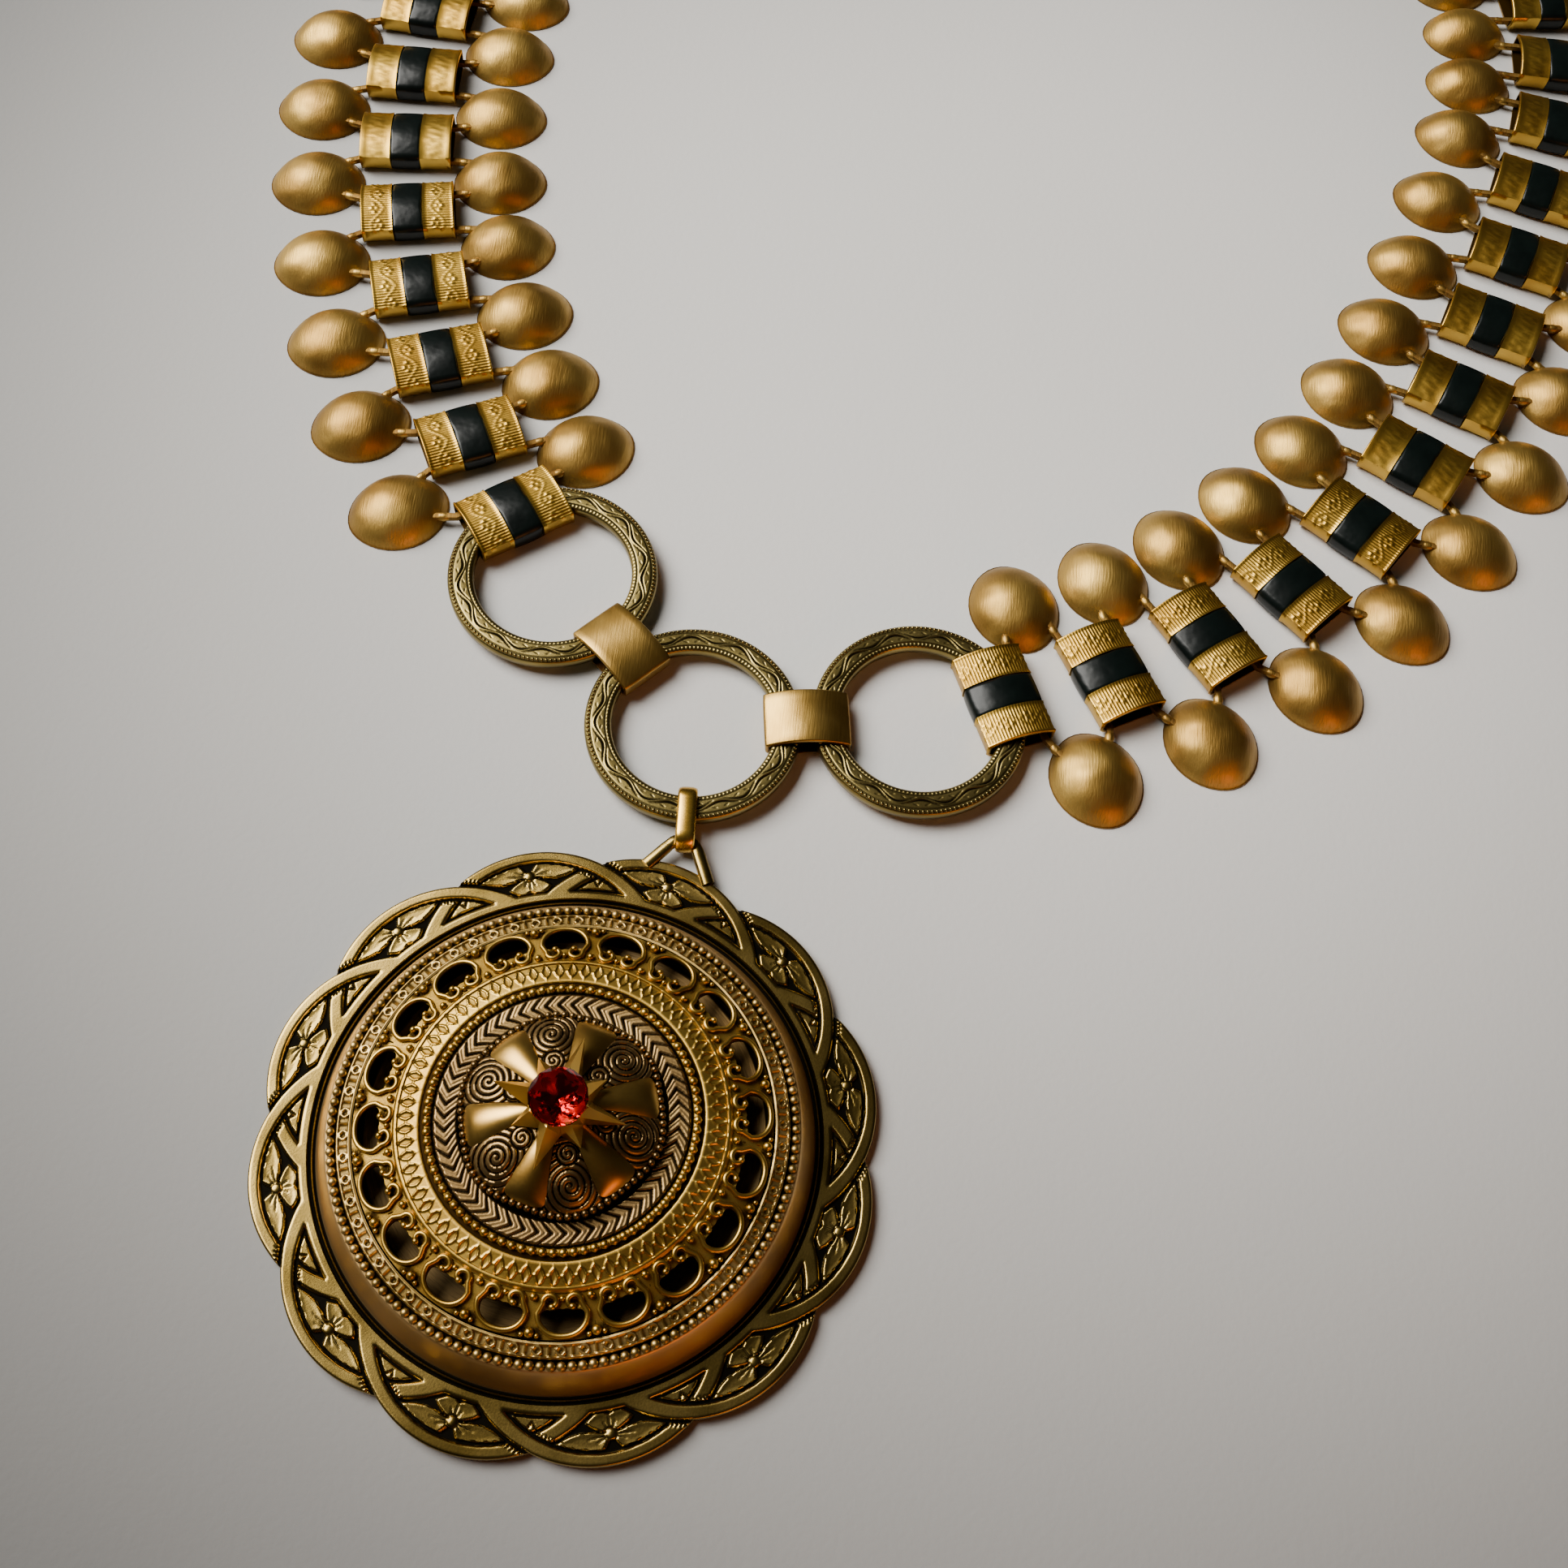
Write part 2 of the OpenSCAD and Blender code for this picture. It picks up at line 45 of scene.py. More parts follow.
def unit(degrees):
    """The direction at an angle from the x axis."""
    turn = np.radians(degrees)
    return np.stack([np.cos(turn), np.sin(turn)], axis=-1)


# Middles of the medallion and the rings, in mm
MEDALLION = np.array([-38.379, -116.381])
RING_MIDDLE = MEDALLION + [7.4, 49.1]
RING_STEP = 26.2
RING_LEFT_TURN, RING_RIGHT_TURN = 136.3, 7.8
RING_LEFT = RING_MIDDLE + RING_STEP * unit(RING_LEFT_TURN)
RING_RIGHT = RING_MIDDLE + RING_STEP * unit(RING_RIGHT_TURN)


# Surfaces

class Work:
    """Surfaces gathered for one piece: points in mm, four-cornered faces, and at each point the
    tarnish, which also carries painted shade, from 0 where the metal is clean to 1 where it takes
    the full grime colour."""

    def __init__(self):
        self.points, self.faces, self.tarnish, self.total = [], [], [], 0

    def add(self, points, faces, tarnish=0.0):
        """Adds a surface whose points are numbered row by row."""
        self.points.append(points.reshape(-1, 3))
        self.tarnish.append(np.broadcast_to(tarnish, points.shape[:-1]).reshape(-1))
        self.faces.append(faces + self.total)
        self.total += len(self.points[-1])

    def sheet(self, points, tarnish=0.0, close_rows=True, close_cols=True):
        """Adds a grid of points."""
        self.add(points, grid_faces(*points.shape[:2], close_rows, close_cols), tarnish)


def grid_faces(rows, cols, close_rows=False, close_cols=False):
    """Faces of a grid of points numbered row by row. A closed way joins its last line to its
    first."""
    r = np.arange(rows if close_rows else rows - 1)[:, None]
    c = np.arange(cols if close_cols else cols - 1)[None, :]
    r_next, c_next = (r + 1) % rows, (c + 1) % cols
    corners = [r * cols + c, r * cols + c_next, r_next * cols + c_next, r_next * cols + c]
    return np.stack(corners, axis=-1).reshape(-1, 4)


def ramp(depth, width):
    """0 up to no depth and 1 from the given width on, with a smooth rise between."""
    t = np.clip(depth / width, 0.0, 1.0)
    return t * t * (3.0 - 2.0 * t)


def most(*reliefs):
    """The greatest of several reliefs at each point."""
    return functools.reduce(np.maximum, reliefs)


def line_cut(distance, width):
    """1 on a line and 0 past half its width, rounded between."""
    return 1.0 - ramp(np.abs(distance) - width * 0.2, width * 0.4)


def around(count):
    """Angles of evenly spaced steps round a circle, in degrees, as one row."""
    return np.arange(count)[None, :] * 360.0 / count


def turned(radius, degrees, height, middle=MEDALLION):
    """Points at a radius and an angle about a middle, at a height."""
    radius, degrees, height = np.broadcast_arrays(radius, degrees, height)
    place = middle + radius[..., None] * unit(degrees)
    return np.concatenate([place, height[..., None]], axis=-1)


def stacked(cols, *parts):
    """Stacks grids, columns, rows and single numbers into one grid of that many columns."""
    parts = [np.atleast_2d(part) for part in parts]
    return np.concatenate([np.broadcast_to(part, (len(part), cols)) for part in parts])


def band(work, turn, radius, height, dark, under, middle=MEDALLION, close_rows=True):
    """A ring worked in relief. The rows over its top are grids of radius, height and tarnish, and
    under lists the rows back beneath it, each with its radius, height and tarnish."""
    radius, height, dark = (stacked(turn.shape[1], top, *[row[k] for row in under])
                            for k, top in enumerate((radius, height, dark)))
    work.sheet(turned(radius, turn, height, middle), dark, close_rows)


def revolve(work, profile, cols, close_rows=True):
    """Turns a profile round the medallion's middle. Its columns: radius, height, tarnish and
    painted shade.
    """
    radius, height, dark = np.array(profile, float).T[..., None]
    work.sheet(turned(radius, around(cols), height), dark, close_rows)


def ball(rows, cols, low):
    """A unit ball: rows of latitude from low up to the top pole, cols of longitude, closed flat
    beneath, so that it stands in the metal as a bead."""
    up = np.linspace(low, 90.0, rows)
    level, high = np.cos(np.radians(up)), np.sin(np.radians(up))
    level, high = np.append(0.0, level), np.append(high[0], high)
    points = turned(level[:, None], around(cols), high[:, None], np.zeros(2))
    return points.reshape(-1, 3), grid_faces(len(level), cols, False, True)


BEAD, GRAIN = ball(5, 8, -20.0), ball(4, 6, -20.0)


def scatter(work, shape, middles, turns, sizes, tarnish_low):
    """Copies a small shape: each is scaled, turned about the upright axis and moved to its middle.
    The low half of each copy is darkened with painted shade, deepest at the bead's foot."""
    points, faces = shape
    scaled = points[None] * np.broadcast_to(sizes, (len(middles), 3))[:, None, :]
    c, s = np.cos(np.radians(turns))[:, None], np.sin(np.radians(turns))[:, None]
    placed = np.stack([scaled[..., 0] * c - scaled[..., 1] * s,
                       scaled[..., 0] * s + scaled[..., 1] * c, scaled[..., 2]], axis=-1)
    placed += np.asarray(middles)[:, None, :]
    # Painted shade: the lower a point lies on the bead, the darker it is.
    shade = tarnish_low * (1.0 - ramp(points[:, 2] + 0.3, 0.5))
    copies = faces[None] + (np.arange(len(middles)) * len(points))[:, None, None]
    work.add(placed, copies.reshape(-1, 4), shade)


def bead_row(work, count, radius, height, sizes, tarnish_low, middle=MEDALLION, shape=BEAD):
    """Small shapes evenly round a middle. Sizes are half measures: outwards, along the row, up."""
    turn = around(count)[0]
    scatter(work, shape, turned(radius, turn, height, middle), turn, sizes, tarnish_low)


def carry(work, path, section, closed=False, upright=(0.0, 0.0, 1.0), tarnish=0.0, scale=1.0):
    """Carries a closed section along a path. The section's first column points sideways, square to
    the path and the upright, and its second column squarely up from both. scale sizes it on the
    way, and the ends of an open path are drawn to a point."""
    if closed:
        ahead = np.roll(path, -1, axis=0) - np.roll(path, 1, axis=0)
    else:
        ahead = np.gradient(path, axis=0)
    ahead /= np.linalg.norm(ahead, axis=1, keepdims=True)
    side = np.cross(ahead, upright)
    side /= np.linalg.norm(side, axis=1, keepdims=True)
    up = np.cross(side, ahead)
    size = np.broadcast_to(scale, (len(path),))[:, None, None]
    across = section[None, :, :1] * side[:, None] + section[None, :, 1:] * up[:, None]
    points = path[:, None] + size * across
    if not closed:
        first, last = (np.broadcast_to(path[k], points[:1].shape) for k in (0, -1))
        points = np.concatenate([first, points, last])
    work.sheet(points, tarnish, closed)


def round_section(width, height, count, power=2.0):
    """Closed section: a circle or, with a higher power, a squarer oval of that width and height."""
    turn = np.arange(count) * 2 * np.pi / count
    c, s = np.cos(turn), np.sin(turn)
    return np.stack([np.sign(c) * np.abs(c) ** (2 / power) * width / 2,
                     np.sign(s) * np.abs(s) ** (2 / power) * height / 2], axis=1)


def smooth_path(corners, steps, rounding):
    """A path through corner points whose bends are rounded: each bend is a quadratic curve between
    points at the rounding's share of the two sides that meet there."""
    corners = np.asarray(corners)
    parts = [corners[:1]]
    t = np.linspace(0.0, 1.0, steps)[:, None]
    for before, bend, after in zip(corners[:-2], corners[1:-1], corners[2:]):
        start, end = bend + (before - bend) * rounding, bend + (after - bend) * rounding
        parts.append((1 - t) ** 2 * start + 2 * t * (1 - t) * bend + t * t * end)
    return np.concatenate(parts + [corners[-1:]])


def inside_depth(x, y, corners):
    """Depth inside a polygon, negative outside: the distance to the nearest side, with its sign
    from how many sides a ray to the right crosses."""
    a = np.array(corners)
    side = np.roll(a, -1, axis=0) - a
    px, py = x[..., None] - a[:, 0], y[..., None] - a[:, 1]
    t = np.clip((px * side[:, 0] + py * side[:, 1]) / (side ** 2).sum(1), 0.0, 1.0)
    distance = np.hypot(px - t * side[:, 0], py - t * side[:, 1]).min(-1)
    rise = np.where(side[:, 1] == 0, 1e-9, side[:, 1])
    above = a[:, 1] > y[..., None]
    crosses = (above != np.roll(above, -1, axis=-1)) & (px < py * side[:, 0] / rise)
    return np.where(crosses.sum(-1) % 2 == 1, distance, -distance)


def placed(name, data):
    """A new object of the scene, at the origin."""
    made = bpy.data.objects.new(name, data)
    bpy.context.scene.collection.objects.link(made)
    return made


def new_mesh(name, points, faces):
    """A mesh of points in metres."""
    mesh = bpy.data.meshes.new(name)
    mesh.from_pydata(points, [], faces)
    return mesh


def ride_for(mesh, material, nodes):
    """Welds a mesh's seams and poles, turns its faces outwards, and puts it on the body in place
    of its CAD nodes."""
    shell = bmesh.new()
    shell.from_mesh(mesh)
    bmesh.ops.remove_doubles(shell, verts=shell.verts, dist=0.002 * MM)
    bmesh.ops.dissolve_degenerate(shell, edges=shell.edges, dist=0.0005 * MM)
    bmesh.ops.recalc_face_normals(shell, faces=shell.faces)
    shell.to_mesh(mesh)
    shell.free()
    mesh.materials.append(material)
    piece = placed(mesh.name, mesh)
    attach(piece, "root")
    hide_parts(*nodes)


def finish_piece(name, material, slot, nodes, make, *given, crease=60.0):
    """Makes the surfaces that a maker gathers one smooth piece, sharp where faces meet past the
    crease in degrees."""
    work = Work()
    make(work, *given)
    mesh = new_mesh(name, np.concatenate(work.points) * MM, np.concatenate(work.faces))
    # This layer holds real tarnish and painted shade at each point.
    layer = mesh.attributes.new("tarnish", "FLOAT", "POINT")
    layer.data.foreach_set("value", np.concatenate(work.tarnish).astype(np.float32))
    ride_for(mesh, material, nodes)
    mesh.shade_smooth()
    mesh.set_sharp_from_angle(angle=math.radians(crease))


# Finishes

def colour(code):
    """An sRGB hex code as a linear colour."""
    part = np.array([int(code[k:k + 2], 16) / 255 for k in (1, 3, 5)])
    linear = np.where(part <= 0.04045, part / 12.92, ((part + 0.055) / 1.055) ** 2.4)
    return (*linear, 1.0)


def feed(node, inputs):
    """Sets each input to a value, or links it to a socket or to another node's first output."""
    for key, value in inputs.items():
        if isinstance(value, bpy.types.Node):
            value = value.outputs[0]
        if isinstance(value, bpy.types.NodeSocket):
            node.id_data.links.new(value, node.inputs[key])
        else:
            node.inputs[key].default_value = value


def add(tree, kind, inputs={}, **settings):
    """Adds a shader node with its settings and inputs."""
    made = tree.nodes.new("ShaderNode" + kind)
    for key, value in settings.items():
        setattr(made, key, value)
    feed(made, inputs)
    return made


def blank(name):
    """A new material with its surface, its node tree and the place that its patterns read."""
    material = bpy.data.materials.new(name)
    material.use_nodes = True
    tree = material.node_tree
    tree.nodes.clear()
    surface = add(tree, "BsdfPrincipled")
    add(tree, "OutputMaterial", {"Surface": surface})
    return material, tree, surface, add(tree, "TexCoord").outputs["Object"]


def per_mm(size):
    """Texture scale that gives features of this size in mm on Object coordinates."""
    return 1.0 / (size * MM)


# Colour result of a Mix node, and its two colour inputs
MIXED, LOW, HIGH = 2, 6, 7
# The lathe draws its rings out this far for a radian, and the brush keeps these shares of a step
LATHE_DRAW = 0.0015
BRUSH_DRAW = (1.0, 0.07, 0.4)
HAMMER_MARK = 4.5
# Spans of the noise from dull to bright, and of the tarnish and painted shade from clean to grime
# colour
TONE_SPAN, GRIME_AND_SHADE_SPAN = {"From Min": 0.35, "From Max": 0.65}, {"From Min": 0.2, "From Max": 0.8}
# How far the grain breaks up the edge of the grime and painted shade, and what they and the grain
# add to the roughness
PATCH, PATCH_MID, GRIME_AND_SHADE_MATT, GRAIN_MATT = 0.35, -0.17, 0.3, 0.06


def metal(name, bright, dull, grime_and_shade, roughness, grain=0.2, grain_height=0.006, blotch=6.0,
          lathe=False, brushed=False, dent=0.0):
    """Metal that noise shades from bright to dull in blotches, with the matt grime colour where the
    tarnish and painted shade are and a fine grain in the bump, all sizes in mm. lathe draws the
    grain out round the medallion's middle, brushed along the loop, and dent is the depth of shallow
    hammer marks."""
    material, tree, surface, place = blank(name)
    tarnish_shade_amount = add(tree, "Attribute", attribute_name="tarnish").outputs["Fac"]
    blotches = add(tree, "TexNoise", {"Vector": place, "Scale": per_mm(blotch), "Detail": 2.0})
    if lathe:
        off = add(tree, "VectorMath", {0: place, 1: (*MEDALLION * MM, 0.0)}, operation="SUBTRACT")
        x, y, z = add(tree, "SeparateXYZ", {0: off}).outputs
        flat = add(tree, "CombineXYZ", {"X": x, "Y": y})
        reach = add(tree, "VectorMath", {0: flat}, operation="LENGTH").outputs["Value"]
        turn = add(tree, "Math", {0: y, 1: x}, operation="ARCTAN2")
        drawn = add(tree, "Math", {0: turn, 1: LATHE_DRAW}, operation="MULTIPLY")
        place = add(tree, "CombineXYZ", {"X": reach, "Y": drawn, "Z": z})
    marks = add(tree, "TexNoise", {"Vector": place, "Scale": per_mm(HAMMER_MARK), "Detail": 1.0})
    if brushed:
        place = add(tree, "VectorMath", {0: place, 1: BRUSH_DRAW}, operation="MULTIPLY")
    fine = add(tree, "TexNoise", {"Vector": place, "Scale": per_mm(grain), "Detail": 3.0})
    tone = add(tree, "MapRange", {"Value": blotches, **TONE_SPAN})
    base = add(tree, "Mix", {0: tone, LOW: colour(dull), HIGH: colour(bright)}, data_type="RGBA")
    patchy = add(tree, "Math", {0: fine, 1: PATCH, 2: PATCH_MID}, operation="MULTIPLY_ADD")
    # The tarnish attribute brings painted shade as well as real tarnish; both take the grime
    # colour.
    spread = add(tree, "Math", {0: tarnish_shade_amount, 1: patchy}, operation="ADD")
    dark = add(tree, "MapRange", {"Value": spread, **GRIME_AND_SHADE_SPAN})
    shown = add(tree, "Mix", {0: dark, LOW: base.outputs[MIXED], HIGH: colour(grime_and_shade)},
                data_type="RGBA")
    matt = add(tree, "Math", {0: dark, 1: GRIME_AND_SHADE_MATT, 2: roughness}, operation="MULTIPLY_ADD")
    uneven = add(tree, "Math", {0: fine, 1: GRAIN_MATT, 2: matt}, operation="MULTIPLY_ADD")
    depth = add(tree, "Math", {0: marks, 1: dent / grain_height, 2: fine},
                operation="MULTIPLY_ADD")
    bump = add(tree, "Bump", {"Height": depth, "Distance": grain_height * MM, "Strength": 1.0})
    feed(surface, {"Base Color": shown.outputs[MIXED], "Roughness": uneven, "Normal": bump,
                   "Metallic": 1.0})
    return material


# The fine even grain that polishing leaves
POLISH = {"grain": 0.3, "grain_height": 0.002}
# Gilt brass beaten by hand and brushed along the loop: a broad soft sheen with fine scratches. Its
# grime colour also paints the shade that darkens the discs towards their rims
satin_gilt = metal("satin_gilt_brass", "#bb9950", "#957338", "#56321a", 0.44,
                   grain_height=0.036, blotch=8.0, brushed=True, dent=0.5)
# The connectors' gilding, plain and brushed: browner than the discs, with a narrower sheen
plain_gilt = metal("brushed_brown_gilt", "#b8954f", "#967538", "#4a2e14", 0.35,
                   grain_height=0.02, blotch=5.0, brushed=True, dent=0.12)
# The same gilding left bright, struck with a pattern: sharper lights and brown in the hollows
struck_gilt = metal("struck_gilt_brass", "#cba444", "#ab8230", "#3c290c", 0.32, grain=0.15)
# The pierced disc's gilding: a deeper yellow, brown round its wires
pierced_gilt = metal("pierced_gilt_brass", "#c8a34c", "#a07b30", "#2c1d0a", 0.33, grain=0.15)
# Polished gilt bail: clear lights, almost no grime
bright_gilt = metal("polished_gilt_brass", "#e0b650", "#c49740", "#3a260b", 0.24, **POLISH)
# The star's paler gilding, smooth and cut to facets
star_gilt = metal("faceted_pale_gilt", "#e2c26a", "#c6a04c", "#3a260b", 0.29, **POLISH)
# Polished brass of the six petals: smooth, a little beaten, browner than the star
petal_brass = metal("polished_petal_brass", "#c09a50", "#987436", "#2a1a0a", 0.28, dent=0.12,
                    **POLISH)
# The dome's and herringbone's bronze: brown lines on a nearly black ground
boss_bronze = metal("darkened_bronze", "#94784b", "#735a37", "#0e0905", 0.33)
# Stamped brass blackened and rubbed back: olive brown on top, nearly black in the cuts
antique = metal("antiqued_stamped_brass", "#a28849", "#7a6430", "#0b0906", 0.21, dent=0.05)
# The same brass where beads and motifs are rubbed: a broad soft light on every bead
rubbed = metal("rubbed_stamped_brass", "#bf9f60", "#957a42", "#0e0a06", 0.38)
# The medallion's wall, spun and brushed: fine rings run round it. Its grime colour also paints the
# shade on the floor under the pierced disc and in the crease at the wall's foot
spun = metal("spun_brushed_brass", "#dcb87e", "#b48f57", "#0f0a05", 0.4, grain=0.14,
             grain_height=0.018, blotch=14.0, lathe=True)
# Engraved brass of the rings: greener and duller than the gilding
engraved = metal("engraved_dull_brass", "#96854f", "#76673a", "#0f0b05", 0.28)


def clouded(name, size, detail, low, high):
    """The start of a material whose colour drifts between two tones in clouds of a size in mm."""
    material, tree, surface, place = blank(name)
    cloud = add(tree, "TexNoise", {"Vector": place, "Scale": per_mm(size), "Detail": detail})
    tint = add(tree, "Mix", {0: cloud, LOW: colour(low), HIGH: colour(high)}, data_type="RGBA")
    return material, tree, surface, place, cloud, tint.outputs[MIXED]


def black_enamel():
    """Fired black enamel: glassy, a little uneven, with a green-black depth."""
    material, tree, surface, _, waves, tint = clouded("fired_black_enamel", 2.5, 2.0, "#030605",
                                                      "#0b1311")
    bump = add(tree, "Bump", {"Height": waves, "Distance": 0.12 * MM})
    feed(surface, {"Base Color": tint, "Normal": bump, "Roughness": 0.3,
                   "Specular IOR Level": 0.2, "IOR": 1.55})
    return material


def red_glass():
    """Cut red glass paste: clear, deep red, flat facets with sharp reflections."""
    material, _, surface, _, _, tint = clouded("cut_red_glass", 3.0, 2.0, "#8c0008", "#cc0410")
    feed(surface, {"Base Color": tint, "Transmission Weight": 1.0, "Roughness": 0.03,
                   "IOR": 1.55, "Specular IOR Level": 0.1})
    return material


enamel_black = black_enamel()
stone_red = red_glass()


# Medallion rim: twelve lobes, each edged by a strap that weaves over its neighbour

LOBES = 12
LOBE_TURN = 16.47
LOBE_STEP = 360.0 / LOBES
# A strap lies inside the outer circle and outside the inner one, in its lobe's own line
OUTER_MID, OUTER_R = 19.0, 13.4
INNER_MID, INNER_R = 19.85, 11.35
# Radii of the panels' foot, of the plain border's foot and of the ridge in the wall's groove
PANEL_FOOT, BORDER_FOOT, GROOVE_RIDGE = 27.42, 26.5, 26.02
FLOWER_R, CORNER_R = 29.55, 28.75
RIM_FLOOR, RELIEF = 1.05, 0.4
BLACK_LINE = 0.34
# Depth and spacing of the short cuts where straps cross
TICK_DEPTH, TICK_STEP = 0.14, 0.42
RIM_UNDER_R = 25.0
SIDE_PETAL = [(0.0, 0.3), (0.3, 0.62), (0.75, 1.25), (1.1, 1.5), (2.4, 1.4), (3.4, 1.04),
              (4.4, 0.6), (5.6, 0.04), (4.7, -0.3), (4.0, -0.5), (3.1, -0.62), (2.0, -0.56),
              (1.0, -0.3), (0.0, -0.1)]
# Right half of the inner petal, from the eye to its end; the left half mirrors it
HALF_PETAL = [(0.3, -0.1), (1.0, -0.38), (1.9, -0.9), (2.3, -1.3), (2.1, -1.7), (1.6, -2.1),
              (0.45, -2.1)]
INNER_PETAL = HALF_PETAL + [(0.0, -1.9)] + [(-x, y) for x, y in HALF_PETAL[::-1]]
PETAL_RISE, EYE_R, EYE_RING = 0.36, 0.58, 0.7
# Columns: direction in degrees, length in mm of the cuts that spread from a flower's eye
EYE_CUTS = [(-12, 1.4), (6, 2.2), (26, 1.5), (154, 1.5), (174, 2.2), (192, 1.4), (-64, 1.3),
            (-90, 1.5), (-116, 1.3)]


def apart(radius, off):
    """Distances out along a line and square to it of a point that lies off degrees from it."""
    return radius * np.cos(np.radians(off)), radius * np.sin(np.radians(off))


def reach_from(radius, off, middle):
    """Distance from a circle's middle, which lies that far out on the line."""
    out, side = apart(radius, off)
    return np.hypot(out - middle, side)


def strap_depth(radius, off):
    """Depth inside the strap of the lobe whose middle lies off degrees away: the lesser of the
    depths inside its outer circle and outside its inner circle."""
    return np.minimum(OUTER_R - reach_from(radius, off, OUTER_MID),
                      reach_from(radius, off, INNER_MID) - INNER_R)


def inner_depth(radius, off):
    """Depth inside a lobe's inner circle."""
    return INNER_R - reach_from(radius, off, INNER_MID)


def flower_relief(radius, off):
    """Height and tarnish of the flower in a lobe's panel. Three petals are polygons with rolled
    edges, tapering cuts spread from the eye, and the eye is a round bead in a dark ring."""
    out, side = apart(radius, off)
    x, y = -side, out - FLOWER_R
    petal = np.maximum(inside_depth(np.abs(x), y, SIDE_PETAL), inside_depth(x, y, INNER_PETAL))
    height = PETAL_RISE * ramp(petal, 0.11) - 0.03 * ramp(petal - 0.15, 0.5)
    dark = 1.0 - ramp(petal + 0.03, 0.07)
    for direction, length in EYE_CUTS:
        c, s = unit(direction)
        along, across = x * c + y * s, y * c - x * s
        on = ramp(along - 0.5, 0.08) * (1 - ramp(along - length, 0.15))
        cut = on * line_cut(across, 0.26 - 0.14 * np.clip(along / length, 0, 1))
        height, dark = height - 0.05 * cut * (petal > 0), np.maximum(dark, cut)
    off_eye = np.hypot(x, y)
    ring = ramp(EYE_RING - off_eye, 0.06)
    height, dark = height * (1 - 0.4 * ring), np.maximum(dark, ring)
    eye = np.clip(1 - (off_eye / EYE_R) ** 2, 0, 1)
    height = np.where(eye > 0, 0.26 + 0.2 * np.sqrt(eye), height)
    return height, np.where(eye > 0, 0.5 * (1 - ramp(eye, 0.2)), dark)


def corner_relief(radius, off):
    """Height and tarnish of the small triangle where two lobes meet: a flat leaf inside a dark
    line, with a diamond on it and a cut down each side of the diamond."""
    out, side = apart(radius, off)
    x, y = -side, out - CORNER_R
    sides = np.minimum(inner_depth(radius, off - LOBE_STEP / 2),
                       inner_depth(radius, off + LOBE_STEP / 2))
    leaf = np.minimum(sides - 0.2, radius - PANEL_FOOT - 0.2)
    off_diamond = np.abs(np.abs(x) / 0.42 + np.abs(y + 0.05) / 0.62 - 1.0)
    cut = line_cut(off_diamond, 0.5) * (y < 0.5) * (leaf > 0)
    return 0.34 * ramp(leaf, 0.1) - 0.14 * cut, np.maximum(1 - ramp(leaf, 0.08), 0.9 * cut)


def crossing(radius, off):
    """Depth inside the strap that crosses on top, and the way along its edge."""
    out, side = apart(radius, off)
    return strap_depth(radius, off), np.arctan2(side, out - OUTER_MID) * OUTER_R


def lay_strap(height, dark, depth, over=None):
    """Lays a strap over what is there: rolled edges, and a black line just outside it. Beside the
    edge of a strap that goes over it, short cuts are struck across it."""
    top = RELIEF * (0.85 * ramp(depth, 0.08) + 0.15 * ramp(depth, 0.3))
    shade = 0.7 * (1 - ramp(depth, 0.04))
    if over is not None:
        edge, along = over
        near = ramp(edge + 0.85, 0.3) * (edge < -0.06)
        tick = near * ramp(np.cos(2 * np.pi * along / TICK_STEP) - 0.3, 0.3)
        top, shade = top - TICK_DEPTH * tick, np.maximum(shade, tick)
    line = ramp(depth + BLACK_LINE, 0.08) * (depth <= 0)
    return (np.where(depth > 0, top, height * (1 - line)),
            np.where(depth > 0, shade, np.maximum(dark, line)))


def rim_relief(radius, off):
    """Height above the rim's floor and tarnish, over one lobe with the straps of its neighbours.
    Where straps cross, the next lobe's right leg lies on top of this lobe's left leg."""
    own = strap_depth(radius, off)
    right, left = (strap_depth(radius, off + turn) for turn in (LOBE_STEP, -LOBE_STEP))
    height, dark = flower_relief(radius, off)
    for turn in (-LOBE_STEP, LOBE_STEP):
        leaf, shade = corner_relief(radius, off + turn / 2)
        here = (inner_depth(radius, off + turn) > 0) & (inner_depth(radius, off) > 0)
        height, dark = np.where(here, leaf, height), np.where(here, shade, dark)
    # From the lowest up: each lobe's left leg goes under, its right leg over
    for depth, over in ((right, crossing(radius, off)),
                        (np.where(off > 0, own, -1.0), crossing(radius, off - LOBE_STEP)),
                        (np.where(off <= 0, own, -1.0), None), (left, None)):
        height, dark = lay_strap(height, dark, depth, over)
    border = PANEL_FOOT - radius
    strap = most(own, left, right)
    height = np.maximum(height, RELIEF * ramp(border + 0.02, 0.1))
    dark = np.where(border > 0, 0.0, np.where((border > -0.1) & (strap < 0), 0.9, dark))
    groove = ramp(BORDER_FOOT - radius, 0.12)
    ridge = line_cut(radius - GROOVE_RIDGE, 0.22)
    return (height * (1 - groove) + 0.2 * ridge,
            np.maximum(dark, groove) * (1 - 0.45 * ridge))


